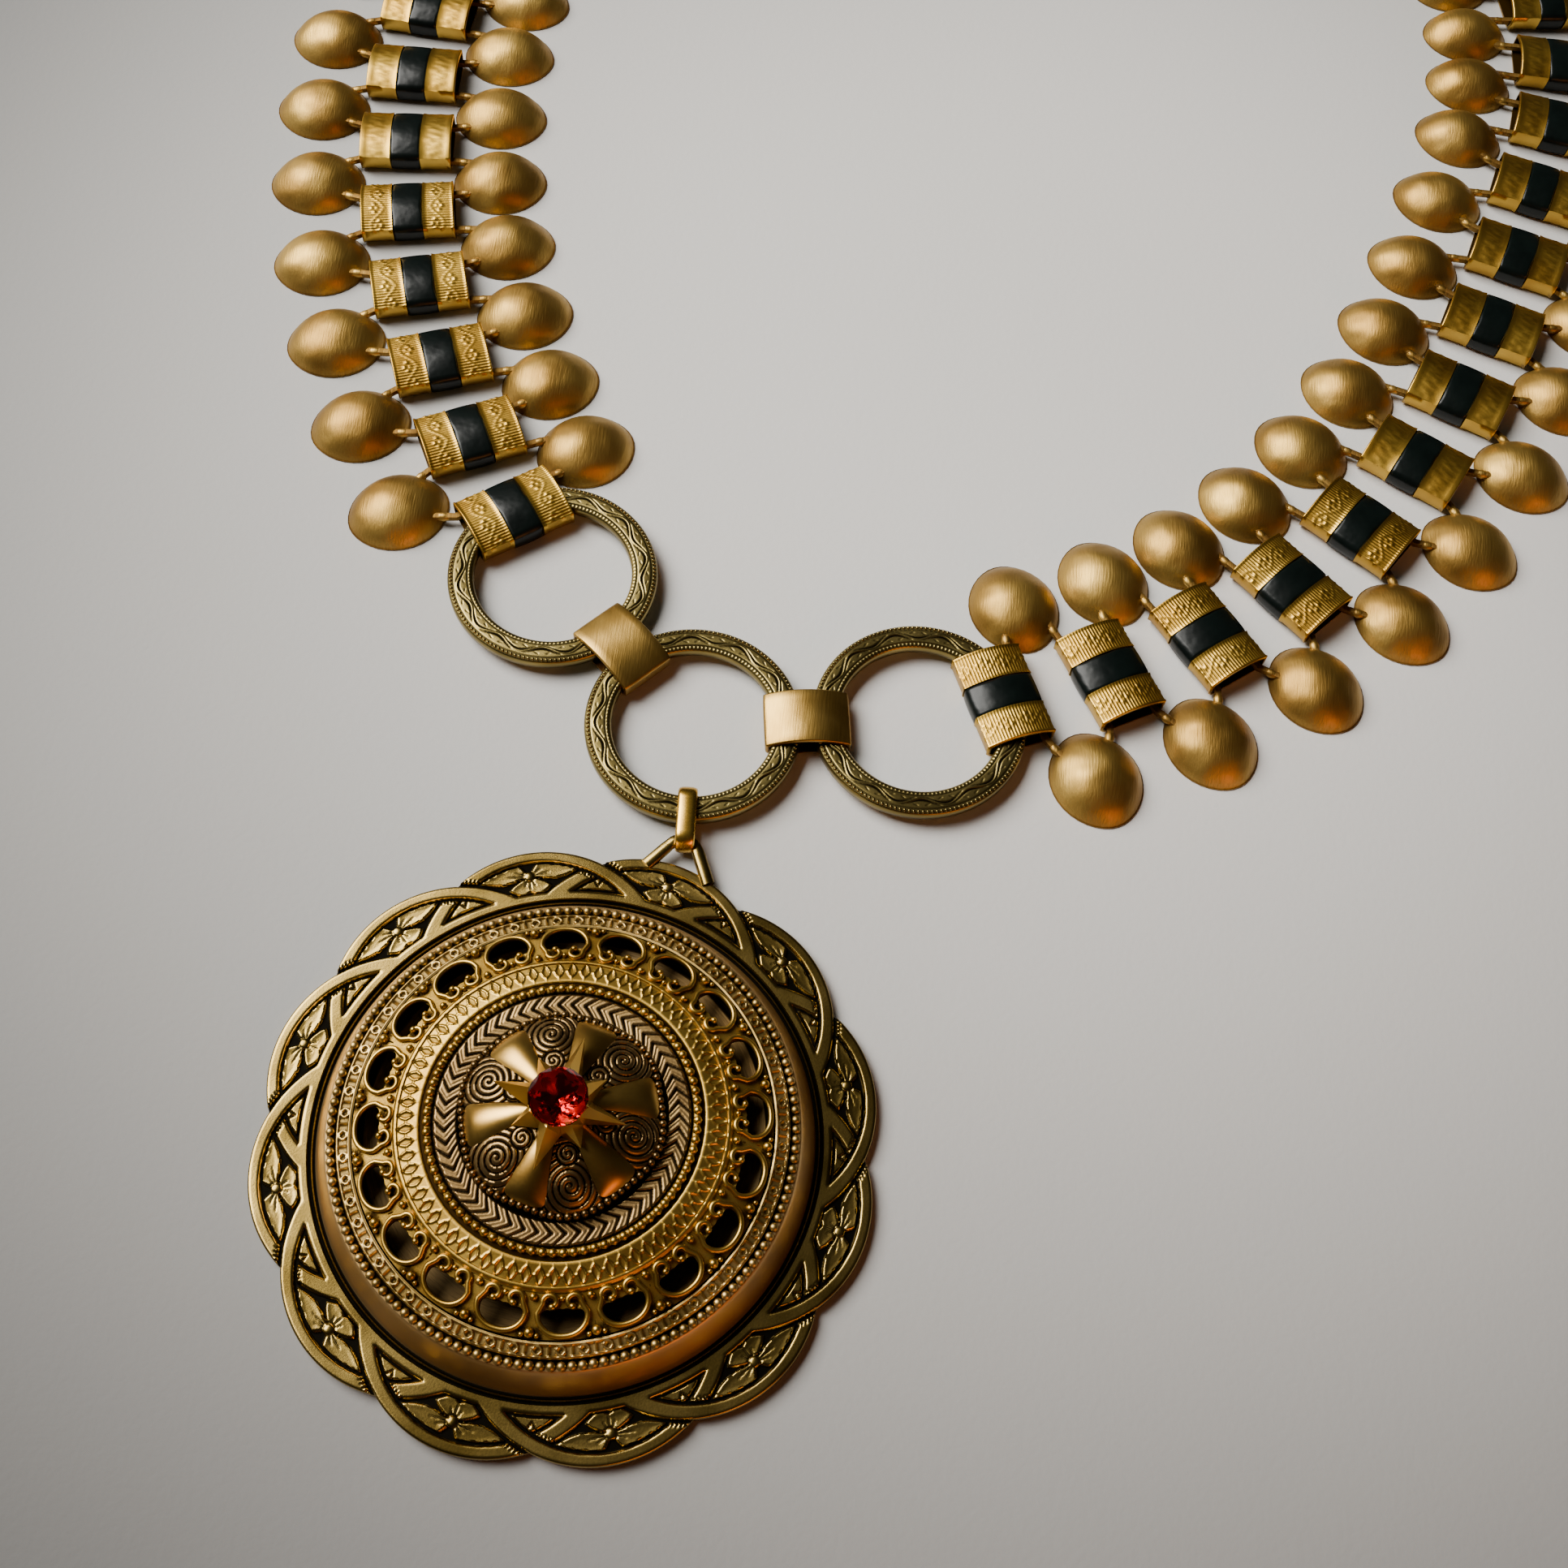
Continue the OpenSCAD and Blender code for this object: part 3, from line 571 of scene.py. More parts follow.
def medallion_rim(work):
    """Rim sheet: rows run from under the wall's foot out to the lobes' outline, over its edge and
    back underneath. One lobe is worked out and turned round twelve times."""
    cols = 112
    off = (np.arange(cols) / cols - 0.5)[None, :] * LOBE_STEP
    out, side = apart(OUTER_MID, off)
    outline = out + np.sqrt(OUTER_R ** 2 - side ** 2)
    border = np.array([25.4, 25.7, 25.85, 25.94, 26.02, 26.1, 26.2, 26.36, 26.44, 26.52, 26.7,
                       26.95, 27.25, 27.38])[:, None]
    first, share = PANEL_FOOT + 0.05, np.linspace(0.0, 1.0, 46)[:, None]
    radius = stacked(cols, border, first + share * (outline - 0.1 - first))
    height, dark = rim_relief(radius, off)
    z = RIM_FLOOR + height
    everywhere = (off[:, None, :] + np.arange(LOBES)[None, :, None] * LOBE_STEP
                  + LOBE_TURN).reshape(1, -1)
    radius, z, dark, outline = (np.tile(a, (1, LOBES)) for a in (radius, z, dark, outline))
    under = [(outline, z[-1:] - 0.12), (outline + 0.02, 0.75), (outline, 0.12),
             (outline - 0.12, 0.0), (RIM_UNDER_R, 0.0), (RIM_UNDER_R, 0.8)]
    band(work, everywhere, radius, z, dark, [(*row, 0.25) for row in under])


# Medallion body: spun wall, bead row, pattern band, ledge and floor

WALL_BEADS, WALL_BEAD_R, WALL_BEAD_Z = 144, 23.42, 5.26
BAND_REPEATS = 61
BAND_IN, BAND_MID, BAND_OUT = 21.3, 22.08, 22.8
BAND_TOP, BAND_SLOPE, BAND_FOOT = 5.86, 0.25, 5.0
# Floor, ledge, bead seat, sloping wall, foot and underside. Columns: radius, height, tarnish. The
# dark floor under the pierced disc, the dark round the bead row's foot and the dark crease at the
# wall's foot are painted shade.
WALL = [(0.0, 3.8, 0.55), (8.0, 3.8, 0.55), (20.3, 3.8, 0.55), (20.4, 3.9, 0.7), (20.45, 5.35, 1),
        (21.2, 5.4, 1), (22.7, 5.25, 1), (23.1, 5.2, 0.9), (23.75, 5.22, 0.6),
        (23.92, 5.16, 0.25), (24.04, 5.03, 0), (24.2, 4.74, 0), (24.42, 4.24, 0),
        (24.66, 3.66, 0), (24.9, 3.06, 0), (25.12, 2.46, 0), (25.32, 1.88, 0), (25.48, 1.42, 0),
        (25.58, 1.16, 0.2), (25.66, 1.02, 0.9), (25.75, 0.95, 1), (25.75, 0.3, 1),
        (24.9, 0.3, 0.4), (22.3, 3.1, 0.4), (8.0, 3.1, 0.4), (0.0, 3.1, 0.4)]


def medallion_wall(work):
    """The wall's profile turned round."""
    revolve(work, WALL, 288, close_rows=False)


def repeat_place(turn, repeats, radius):
    """Distance in mm along a ring from the middle of the nearest of its repeats."""
    pitch = 2 * np.pi * radius / repeats
    return ((turn * repeats / 360.0 + 0.5) % 1.0 - 0.5) * pitch


def medallion_band(work):
    """Pattern band and the bead row outside it. Each of 61 repeats has one round eye between two
    ridges, a sunk cell on either side of it, and a bar between the cells."""
    turn = around(20 * BAND_REPEATS)
    radius = np.linspace(BAND_IN, BAND_OUT, 19)[:, None]
    along, out = repeat_place(turn, BAND_REPEATS, BAND_MID), radius - BAND_MID
    reach = np.hypot(along, out)
    ridge = ramp(np.abs(out) - 0.42, 0.1)
    eye = ramp(reach - 0.2, 0.08) * (1 - ramp(reach - 0.5, 0.08))
    bar = ramp(np.abs(along) - (np.pi * BAND_MID / BAND_REPEATS - 0.14), 0.08)
    up = most(ridge, eye, bar)
    hole = 1 - ramp(reach - 0.16, 0.1)
    rounding = 0.1 * ramp(np.abs(out) - 0.62, 0.12)
    z = BAND_TOP - BAND_SLOPE * (radius - BAND_IN) + 0.26 * up - 0.1 * hole - rounding
    band(work, turn, radius, z, np.maximum(0.5 * (1 - up), 0.6 * hole),
         [(BAND_OUT + 0.03, BAND_FOOT, 1), (BAND_IN - 0.03, BAND_FOOT, 1)])
    bead_row(work, WALL_BEADS, WALL_BEAD_R, WALL_BEAD_Z, (0.5, 0.49, 0.42), 0.5)


# Pierced disc: twenty kidney openings in scrolled frames, a row of pointed eyelets, a bead row

OPENINGS = 20
OPENING_TURN = 8.0
OPENING_MID = 19.1
OPENING_STEP = 360.0 / OPENINGS
# Half width of an opening, how far it reaches out and in, and where its two scrolls curl
OPENING_HALF, OPENING_OUT, OPENING_FALL = 2.12, 1.42, 0.92
SCROLL_SIDE, SCROLL_OUT = 1.16, -1.18
# The wire frame's half width and its reach outwards, and the wire's width, height and points
FRAME_HALF, FRAME_OUT = 2.42, 1.78
WIRE = (0.56, 0.6, 8)
# The plate's top and foot, in height from the disc's own, and how deep its top is hollowed
PLATE_TOP, PLATE_FOOT, PLATE_HOLLOW = -0.2, -0.75, 0.14
DISC_IN, DISC_EDGE = 16.95, 21.12
CONE_R, CONE_TOP, CONE_SLOPE = 13.2, 8.9, 0.321
EYELETS, EYELET_R = 72, 15.55
EYELET_ROWS = np.concatenate([[13.75, 14.1, 14.2, 14.3, 14.6], np.linspace(14.75, 16.5, 18),
                              [16.6, 16.7, 16.8, 16.9, 17.0]])[:, None]
EYELET_RIDGE = 16.65
HUB_BEADS, HUB_BEAD_R, HUB_BEAD_Z = 84, 13.42, 8.72
# The hub's collar. Columns: radius, height, tarnish
COLLAR = [(13.8, 8.3, 1), (13.75, 8.62, 0.9), (13.62, 8.72, 0.5), (13.2, 8.74, 0.4),
          (13.02, 8.66, 0.8), (12.98, 8.2, 1), (11.7, 7.8, 1), (11.7, 7.45, 1), (13.6, 7.45, 1)]
# Beads below an opening and between two. Columns: sideways, outwards, half length, half width,
# lift of the middle
SCROLL_BEADS = [(-0.98, -0.84, 0.38, 0.34, 0.16), (0.98, -0.84, 0.38, 0.34, 0.16),
                (0.0, -1.6, 0.3, 0.3, 0.0)]
BEADS_BETWEEN = [(0.0, 1.5, 0.52, 0.52, 0.0), (-0.76, 1.74, 0.27, 0.27, -0.02),
                 (0.76, 1.74, 0.27, 0.27, -0.02), (0.0, -1.66, 0.42, 0.42, 0.02)]


def disc_height(radius):
    """Height of the cone that the disc's face lies on."""
    return CONE_TOP - CONE_SLOPE * (radius - CONE_R)


def opening_edge(count):
    """Edge of one kidney opening, sideways and outwards from its middle, all the way round: half a
    wide oval above, and below a flat side that two scrolls press in."""
    turn = np.arange(count) * 2 * np.pi / count
    c, s = np.cos(turn), np.sin(turn)
    x = OPENING_HALF * np.sign(c) * np.abs(c) ** 0.8
    press = (0.16 * np.exp(-((np.abs(x) - 1.05) / 0.42) ** 2)
             + 0.1 * np.exp(-(x / 0.25) ** 2))
    above = 0.1 + OPENING_OUT * np.abs(s) ** 0.9
    below = 0.1 - OPENING_FALL * np.abs(s) ** 0.55 + press * np.abs(s)
    return np.stack([x, np.where(s > 0, above, below)], axis=1)


def opening_points(local, k, height):
    """Carries points beside one opening's middle to that opening, the angle growing to the left."""
    radius = OPENING_MID + local[..., 1]
    degrees = OPENING_TURN + k * OPENING_STEP - np.degrees(local[..., 0] / radius)
    return turned(radius, degrees, height + disc_height(radius))


def pierced_plate(work):
    """Plate round each opening: rows run from the opening's edge out to the edge of its eighteen
    degrees, over the top, and back underneath. A hollow lies inside each scroll."""
    edge = opening_edge(72)
    half_turn = math.radians(OPENING_STEP / 2)
    # Rays spread from a point a little above the opening's middle
    start = np.array([0.0, 0.15])
    way = edge - start
    half_wide = half_turn * (OPENING_MID + start[1])
    up, down = DISC_EDGE - OPENING_MID - start[1], start[1] - DISC_IN + OPENING_MID
    # The ray through each edge point meets the side of its share of the plate
    share = np.minimum(half_wide / np.maximum(np.abs(way[:, 0]), 1e-6),
                       np.where(way[:, 1] > 0, up / np.maximum(way[:, 1], 1e-6),
                                down / np.maximum(-way[:, 1], 1e-6)))
    far = way * share[:, None] + start
    on_side = np.abs(np.abs(far[:, 0]) - half_wide) < 1e-6
    far[:, 0] = np.where(on_side, np.sign(far[:, 0]) * half_turn * (OPENING_MID + far[:, 1]),
                         far[:, 0])
    t = np.linspace(0.0, 1.0, 9)[:, None, None]
    top = edge * (1 - t) + far * t
    hollow = np.hypot(np.abs(top[..., 0]) - SCROLL_SIDE, top[..., 1] + 1.15)
    sunk = 1 - ramp(hollow - 0.35, 0.3)
    corner = ramp(top[..., 1] - 0.6, 0.6) * ramp(np.abs(top[..., 0]) - 1.6, 0.6)
    dark = stacked(len(edge), 0.5 + 0.3 * np.maximum(sunk, corner), np.full((9, 1), 0.9))
    for k in range(OPENINGS):
        work.sheet(np.concatenate([opening_points(top, k, PLATE_TOP - PLATE_HOLLOW * sunk),
                                   opening_points(top[::-1], k, PLATE_FOOT)]), dark)


def scroll_frame():
    """Path of the wire round one opening: it uncurls out of the right scroll, goes round its foot,
    up the side and over the top, and the same mirrored. Columns: sideways, outwards."""
    curl = np.radians(np.linspace(-262.0, 20.0, 20))
    reach = 0.3 + 0.42 * ramp(curl - curl[0], 2.2)
    foot = np.stack([SCROLL_SIDE + reach * np.cos(curl), SCROLL_OUT + reach * np.sin(curl)],
                    axis=1)
    over = np.radians(np.linspace(-8.0, 90.0, 13))
    side = np.stack([FRAME_HALF * np.abs(np.cos(over)) ** 0.85,
                     -0.05 + FRAME_OUT * np.sin(over)], axis=1)
    half = np.concatenate([foot[:-1], side])
    return np.concatenate([half, half[::-1][1:] * [-1, 1]])


def pierced_frames(work):
    """Half-round wire frames, the beads in each scroll, and the beads between the frames."""
    path = scroll_frame()
    taper = np.ones(len(path))
    taper[:5] = np.linspace(0.55, 1.0, 5)
    taper[-5:] = taper[4::-1]
    section = round_section(*WIRE)
    for k in range(OPENINGS):
        carry(work, opening_points(path, k, 0.08), section, scale=taper)
    for rows, shift in ((SCROLL_BEADS, 0.0), (BEADS_BETWEEN, OPENING_STEP / 2)):
        for x, y, length, width, lift in rows:
            radius = OPENING_MID + y
            turn = OPENING_TURN + shift + around(OPENINGS)[0] - math.degrees(x / radius)
            scatter(work, BEAD, turned(radius, turn, disc_height(radius) + lift), turn,
                    (width, length, width * 1.1), 0.7)


def pierced_eyelets(work):
    """Ridge, eyelets and groove: each eyelet is a raised line round a pointed oval with a dark
    slit, and a short bar joins it to the next."""
    turn, radius = around(14 * EYELETS), EYELET_ROWS
    along, out = repeat_place(turn, EYELETS, EYELET_R), radius - EYELET_R
    oval = 0.4 * (1 - (out / 0.78) ** 2) - np.abs(along)
    line = line_cut(oval, 0.24)
    slit = ramp(oval - 0.12, 0.1)
    bar = line_cut(out + 0.03, 0.2) * (oval < 0)
    ridge = ramp(0.26 - np.abs(radius - EYELET_RIDGE), 0.14)
    groove = ramp(14.25 - radius, 0.12)
    step = line_cut(radius - 16.38, 0.14)
    height = 0.12 * line + 0.07 * bar - 0.05 * slit + 0.24 * ridge - 0.25 * groove
    dark = most(0.5 * slit, 0.26 * (1 - line), groove, 0.5 * step, 0.05)
    low = disc_height(CONE_R) - 1.6
    band(work, turn, radius, disc_height(radius) + height, dark,
         [(DISC_IN + 0.1, low, 1), (13.6, low, 1)])


def pierced_disc(work):
    """Plate, frames, eyelets, collar and the hub's bead row."""
    pierced_plate(work)
    pierced_frames(work)
    pierced_eyelets(work)
    revolve(work, COLLAR, 180)
    bead_row(work, HUB_BEADS, HUB_BEAD_R, HUB_BEAD_Z, (0.46, 0.47, 0.44), 0.4)


# Boss: herringbone ring, and a dome with six plain petals between six coiled panels

CHEVRONS = 54
CHEVRON_IN, CHEVRON_MID, CHEVRON_OUT = 10.3, 11.62, 12.96
# Height and foot of the chevrons' ring, and the share of a step that an arm leans back in a mm
CHEVRON_Z, CHEVRON_FOOT, CHEVRON_LEAN = 8.68, 7.95, 0.78
BOSS_R, BOSS_FOOT = 10.25, 8.2
DOME_BALL, DOME_TOP = 18.66, 12.6
PETALS = 6
PETAL_STEP = 360.0 / PETALS
PETAL_TURN, COIL_TURN = 15.0, 45.0
PETAL_FOOT, PETAL_LENGTH, PETAL_HALF_TURN = 2.5, 7.15, 13.4
# Distance of a coil's middle from the boss's, and the step of its line, for the big and small one
COIL_MID, COIL_LINE = 7.75, 0.62
SMALL_COIL_MID, SMALL_COIL_SIDE, SMALL_COIL_LINE = 4.75, 0.15, 0.5
BORDER_BEADS, BORDER_BEAD_Z = 78, 9.76


def herringbone(work):
    """Flat ring of chevrons that point round the ring: their arms lean back from the ring's middle
    line, each with a dark cut on its edge and a fainter one along its middle."""
    turn = around(14 * CHEVRONS)
    radius = np.linspace(CHEVRON_IN, CHEVRON_OUT, 24)[:, None]
    off_mid = np.abs(radius - CHEVRON_MID)
    phase = (turn * CHEVRONS / 360.0 + CHEVRON_LEAN * off_mid) % 1.0
    cut = 1 - ramp(np.minimum(phase, 1 - phase) - (0.1 - 0.07 * off_mid), 0.08)
    faint = 1 - ramp(np.abs(phase - 0.55) - 0.01, 0.07)
    edge = np.maximum(ramp(radius - 12.68, 0.1), ramp(10.55 - radius, 0.1))
    height = (0.16 * (1 - cut) - 0.05 * faint) * (1 - edge) - 0.08 * edge
    band(work, turn, radius, CHEVRON_Z + height, most(0.9 * cut, 0.3 * faint, edge),
         [(CHEVRON_OUT + 0.02, CHEVRON_FOOT, 1), (CHEVRON_IN - 0.2, CHEVRON_FOOT, 1)])


def coil(x, y, line, sense):
    """Raised spiral line about 0, 0: 1 on the line and 0 in the groove, one line further out for
    each turn."""
    phase = (np.hypot(x, y) / line - sense * np.arctan2(y, x) / (2 * np.pi)) % 1.0
    return ramp(0.5 - np.abs(phase - 0.5) - 0.09, 0.12)


def dome_z(radius):
    """Height of the dome's plain surface."""
    return DOME_TOP - DOME_BALL + np.sqrt(DOME_BALL ** 2 - radius ** 2)


def scallop(turn):
    """Edge of the dome, which swells outwards at each coiled panel."""
    return BOSS_R - 0.1 + 0.25 * np.cos(np.radians(PETALS * (turn - COIL_TURN)))


def boss_relief(radius, turn):
    """Height and tarnish on the dome between its petals. Each coiled panel swells and carries a
    spiral line round its own middle, with a smaller spiral nearer the star."""
    lean = (turn - COIL_TURN + PETAL_STEP / 2) % PETAL_STEP - PETAL_STEP / 2
    out, side = apart(radius, lean)
    small = np.hypot(out - SMALL_COIL_MID, side - SMALL_COIL_SIDE)
    lines = np.where(small < 1.05, coil(out - SMALL_COIL_MID, side - SMALL_COIL_SIDE,
                                        SMALL_COIL_LINE, -1.0),
                     coil(out - COIL_MID, side, COIL_LINE, 1.0))
    lines = lines * (1 - ramp(0.12 - np.abs(small - 1.08), 0.1))
    inset = ramp((17.6 - np.abs(lean)) * np.radians(1.0) * radius - 0.06, 0.12)
    swell = 0.38 * np.exp(-(np.hypot(out - COIL_MID, side) / 2.1) ** 2)
    return (swell + 0.22 * lines) * inset, 1 - 0.97 * lines * inset


def petals(work):
    """Six polished petals: each fans out from the star to a nearly straight end with round corners,
    and swells between its two sides. Rows run outwards, columns across."""
    run = np.concatenate([[0.0, 0.01], np.sin(np.radians(np.linspace(4.0, 87.0, 24))), [1.0]])
    across = np.concatenate([[-1.0], np.sin(np.radians(np.linspace(-90.0, 90.0, 21))), [1.0]])
    run, across = run[:, None], across[None, :]
    radius = PETAL_FOOT + PETAL_LENGTH * run
    side = (radius * math.tan(math.radians(PETAL_HALF_TURN)) * (1 - run ** 36) ** 0.5) * across
    swell = 0.2 + 0.62 * (1 - across ** 2) * (0.35 + 0.65 * run) * (1 - run ** 12)
    swell[:, [0, -1]] = swell[[0, -1]] = -0.35
    out = radius - 0.035 * side ** 2
    reach, lean = np.hypot(out, side), np.degrees(np.arctan2(side, out))
    edge = 0.5 * (1 - ramp(1 - np.abs(across), 0.06))
    for k in range(PETALS):
        turn = PETAL_TURN + PETAL_STEP * k + lean
        work.sheet(turned(reach, turn, dome_z(reach) + swell), edge, False, False)
        work.add(turned(reach, turn, dome_z(reach) - 0.35), grid_faces(*reach.shape)[:, ::-1], edge)


def boss(work):
    """Dome as a cap of a ball, with its relief, a bead border and the herringbone ring round it."""
    herringbone(work)
    turn = around(432)
    share = np.concatenate([[0.0, 0.1, 0.2], np.linspace(0.25, 1.0, 74)])[:, None]
    radius = share * scallop(turn)
    height, dark = boss_relief(radius, turn)
    fade = 1 - ramp(share - 0.955, 0.02)
    band(work, turn, radius, dome_z(radius) + height * fade, np.maximum(dark, 1 - fade),
         [(radius[-1:] + 0.02, BOSS_FOOT, 1), (0.0, BOSS_FOOT, 1)], close_rows=False)
    bead_row(work, BORDER_BEADS, scallop(around(BORDER_BEADS)[0]) - 0.12, BORDER_BEAD_Z,
             (0.4, 0.39, 0.46), 0.6)


# Star and stone

STAR_TURN = 77.6
# Radius and height of the points' ends and of the ridges' tops. Columns: long arm, notch, short
# arm, notch
STAR_TIP, STAR_TIP_Z = [6.95, 3.1, 5.05, 3.1], [13.5, 12.9, 13.6, 12.9]
STAR_TOP, STAR_TOP_Z = [3.15, 2.6, 3.05, 2.6], [15.45, 14.4, 15.35, 14.4]
SEAT_Z = 15.1
# The stone's corners. Columns: corners, radius, turn of the first one, height
STONE_RINGS = [(8, 1.65, 0.0, 16.68), (8, 2.4, 22.5, 16.25), (16, 2.95, 0.0, 15.75),
               (16, 2.95, 0.0, 15.5), (8, 1.5, 22.5, 14.5), (1, 0.0, 0.0, 13.75)]


def star(work):
    """Eight ridged arms: each arm's ridge falls from the seat to its point, and its two flanks drop
    to the notches beside it. Columns go round by points and notches; rows run out and back."""
    tip, tip_z, top, top_z = (np.tile(row, 4) for row in (STAR_TIP, STAR_TIP_Z, STAR_TOP,
                                                          STAR_TOP_Z))
    radius = stacked(16, 0.2, 2.3, 2.6, top, tip, tip - 0.2, 0.2)
    height = stacked(16, 13.6, SEAT_Z, np.maximum(top_z, SEAT_Z), top_z, tip_z, tip_z - 0.4, 12.7)
    work.sheet(turned(radius, STAR_TURN + around(16), height),
               np.array([0.3, 0.1, 0.0, 0.0, 0.0, 0.1, 0.3])[:, None])


def stone():
    """Round brilliant cut: octagonal table, eight kites and star facets, sixteen girdle facets, and
    the same number below down to a point."""
    corners = np.concatenate([turned(radius, around(count)[0] + start, height)
                              for count, radius, start, height in STONE_RINGS])
    # Numbers of the first corners of crown, girdle, its underside, waist and point
    C, G, U, W, P = np.cumsum([count for count, _, _, _ in STONE_RINGS])[:5]
    k, ring = np.arange(8), np.arange(16)
    after, before, g = (k + 1) % 8, (k - 1) % 8, 2 * k
    beyond, ring_next = (g + 2) % 16, (ring + 1) % 16
    facets = [(k, C + k, after), (k, C + before, G + g, C + k), (C + k, G + g, G + g + 1),
              (C + k, G + g + 1, G + beyond), (G + ring, U + ring, U + ring_next, G + ring_next),
              (W + k, U + g + 1, U + g), (W + k, U + beyond, U + g + 1),
              (U + g, W + k, np.full(8, P), W + before)]
    faces = [k.tolist()] + [face for rows in facets for face in np.stack(rows, axis=1).tolist()]
    ride_for(new_mesh("red_stone", corners * MM, faces), stone_red, ["stone"])


# Bail and the medallion's wire loop

BAIL_TURN, BAIL_R, BAIL_Z = -87.0, 12.2, 1.86
BAIL_HALF, BAIL_BEND = 2.1, 1.4
# Width, height, points and squareness of the bail's and the loop's cross-sections
BAIL_SECTION, LOOP_SECTION = (2.2, 0.9, 16, 2.8), (1.15, 0.85, 12, 2.6)
# Columns: place from the medallion's middle, height, from one foot over the top to the other
LOOP_CORNERS = [(4.2, 31.2, 1.3), (6.92, 34.2, 1.75), (8.12, 34.8, 1.88), (9.32, 34.2, 1.75),
                (11.3, 29.6, 1.3)]


def bail(work):
    """Flat band bent into a long loop that stands on edge: two straight sides and two half
    circles."""
    turn = np.radians(np.linspace(-90.0, 90.0, 13))
    right = np.stack([BAIL_HALF + BAIL_BEND * np.cos(turn), BAIL_BEND * np.sin(turn)], axis=1)
    loop = np.concatenate([right, -right])
    flat = RING_MIDDLE + BAIL_R * unit(BAIL_TURN) + loop[:, :1] * unit(BAIL_TURN)
    carry(work, np.concatenate([flat, BAIL_Z + loop[:, 1:]], axis=1),
          round_section(*BAIL_SECTION)[:, ::-1], closed=True,
          upright=(*unit(BAIL_TURN + 90.0), 0.0), tarnish=0.02)


def pendant_loop(work):
    """Flattened wire from one foot on the rim up through the bail and down to the other foot."""
    path = smooth_path(np.array(LOOP_CORNERS) + [*MEDALLION, 0.0], 9, 0.3)
    reach = np.linspace(-1.0, 1.0, len(path))
    dents = 0.05 * np.sin(9.0 * reach) + 0.3 * reach ** 2
    carry(work, path, round_section(*LOOP_SECTION), tarnish=0.15, scale=1.0 + dents)


# Engraved rings and their connectors

RING_MID_R, RING_FOOT, RING_THICK = 10.95, 1.05, 1.6
VINE_REPEATS, TICKS_A_REPEAT = 12, 11
# Distances from the ring's middle line of the rows over its top
RING_ROWS = np.concatenate([[-1.5, -1.4, -1.28, -1.2, -1.12, -1.04, -0.94],
                            np.linspace(-0.87, 0.83, 23), [0.92, 1.08, 1.25, 1.38, 1.5]])[:, None]
# Rows back beneath. Columns: distance from the middle line, height above the ring's foot
RING_UNDER = [(1.56, 0.9), (1.55, 0.3), (1.3, 0.0), (-1.3, 0.0), (-1.55, 0.3), (-1.56, 0.9)]
RING_GRAINS, GRAIN_OFF, GRAIN_Z = 144, 1.14, 2.48
SHEET = 0.45
# Width, height, corner radius and crown radius of a connector's cross-section
CONNECTOR = (9.87, 3.3, 0.75, 10.5)
CONNECTOR_HALF, CONNECTOR_FOOT = 3.4, 0.45
# Columns: place along the connector, lift of the sheet there
CONNECTOR_ROWS = [(-3.4, -0.16), (-3.33, -0.05), (-3.2, 0.0), (-2.4, 0.02), (-1.2, 0.03), (0, 0.03),
                  (1.2, 0.03), (2.4, 0.02), (3.2, 0.0), (3.33, -0.05), (3.4, -0.16)]


def engraved_ring(work, middle, turn_start):
    """Band with an almost flat top that is cut: a row of grains in a dark channel along the outer
    edge, a finer row along the inner one, and between them a raised waving stem. The cut on the
    hollow side of each bend is wide at the crest and thin at its ends; the other side's is thin.
    Rows run over the top from the inner edge, down and back beneath."""
    turn, out = around(44 * VINE_REPEATS), RING_ROWS
    bend = np.radians(turn * VINE_REPEATS)
    wave, crest, side = np.sin(bend), np.abs(np.sin(bend)), np.sign(np.sin(bend))
    off_mid = out + 0.02
    off = (off_mid - 0.46 * wave) / np.sqrt(1 + 0.26 * np.cos(bend) ** 2)
    hollow_side = ramp(-off * side, 0.02)
    bold = line_cut(np.abs(off) - 0.2, 0.14 + 0.16 * crest) * hollow_side
    fine = 0.8 * line_cut(np.abs(off) - 0.18, 0.14) * (1 - hollow_side) * ramp(0.8 - crest, 0.3)
    leaf = (0.7 * line_cut(-side * off_mid - 0.12 - 0.42 * wave ** 2, 0.13)
            * ramp(crest - 0.4, 0.3) * ramp(0.92 - crest, 0.1))
    stem = ramp(0.14 - np.abs(off), 0.1)
    cut = most(bold, fine, leaf * (1 - stem))
    field = ramp(0.8 - np.abs(off_mid), 0.06)
    edges = line_cut(np.abs(off_mid) - 0.86, 0.16)
    channel = ramp(out - 0.86, 0.06) * ramp(1.42 - out, 0.08)
    inner = ramp(0.24 - np.abs(out + 1.16), 0.08)
    tick = ramp(0.5 + 0.5 * np.cos(bend * TICKS_A_REPEAT) - 0.2, 0.5)
    height = (field * (0.05 * stem - 0.09 * cut) - 0.08 * edges - 0.04 * channel
              + inner * (0.08 * tick - 0.05))
    dark = most(field * cut, 0.75 * inner * (1 - tick), 0.8 * edges, 0.6 * channel)
    dome = 0.1 * (out / 1.55) ** 2 + 0.3 * (np.abs(out) / 1.52) ** 9
    band(work, turn + turn_start, RING_MID_R + out, RING_FOOT + RING_THICK - dome + height, dark,
         [(RING_MID_R + x, RING_FOOT + z, 0.1) for x, z in RING_UNDER], middle)
    bead_row(work, RING_GRAINS, RING_MID_R + GRAIN_OFF, GRAIN_Z, (0.25, 0.2, 0.24), 0.4, middle,
             GRAIN)


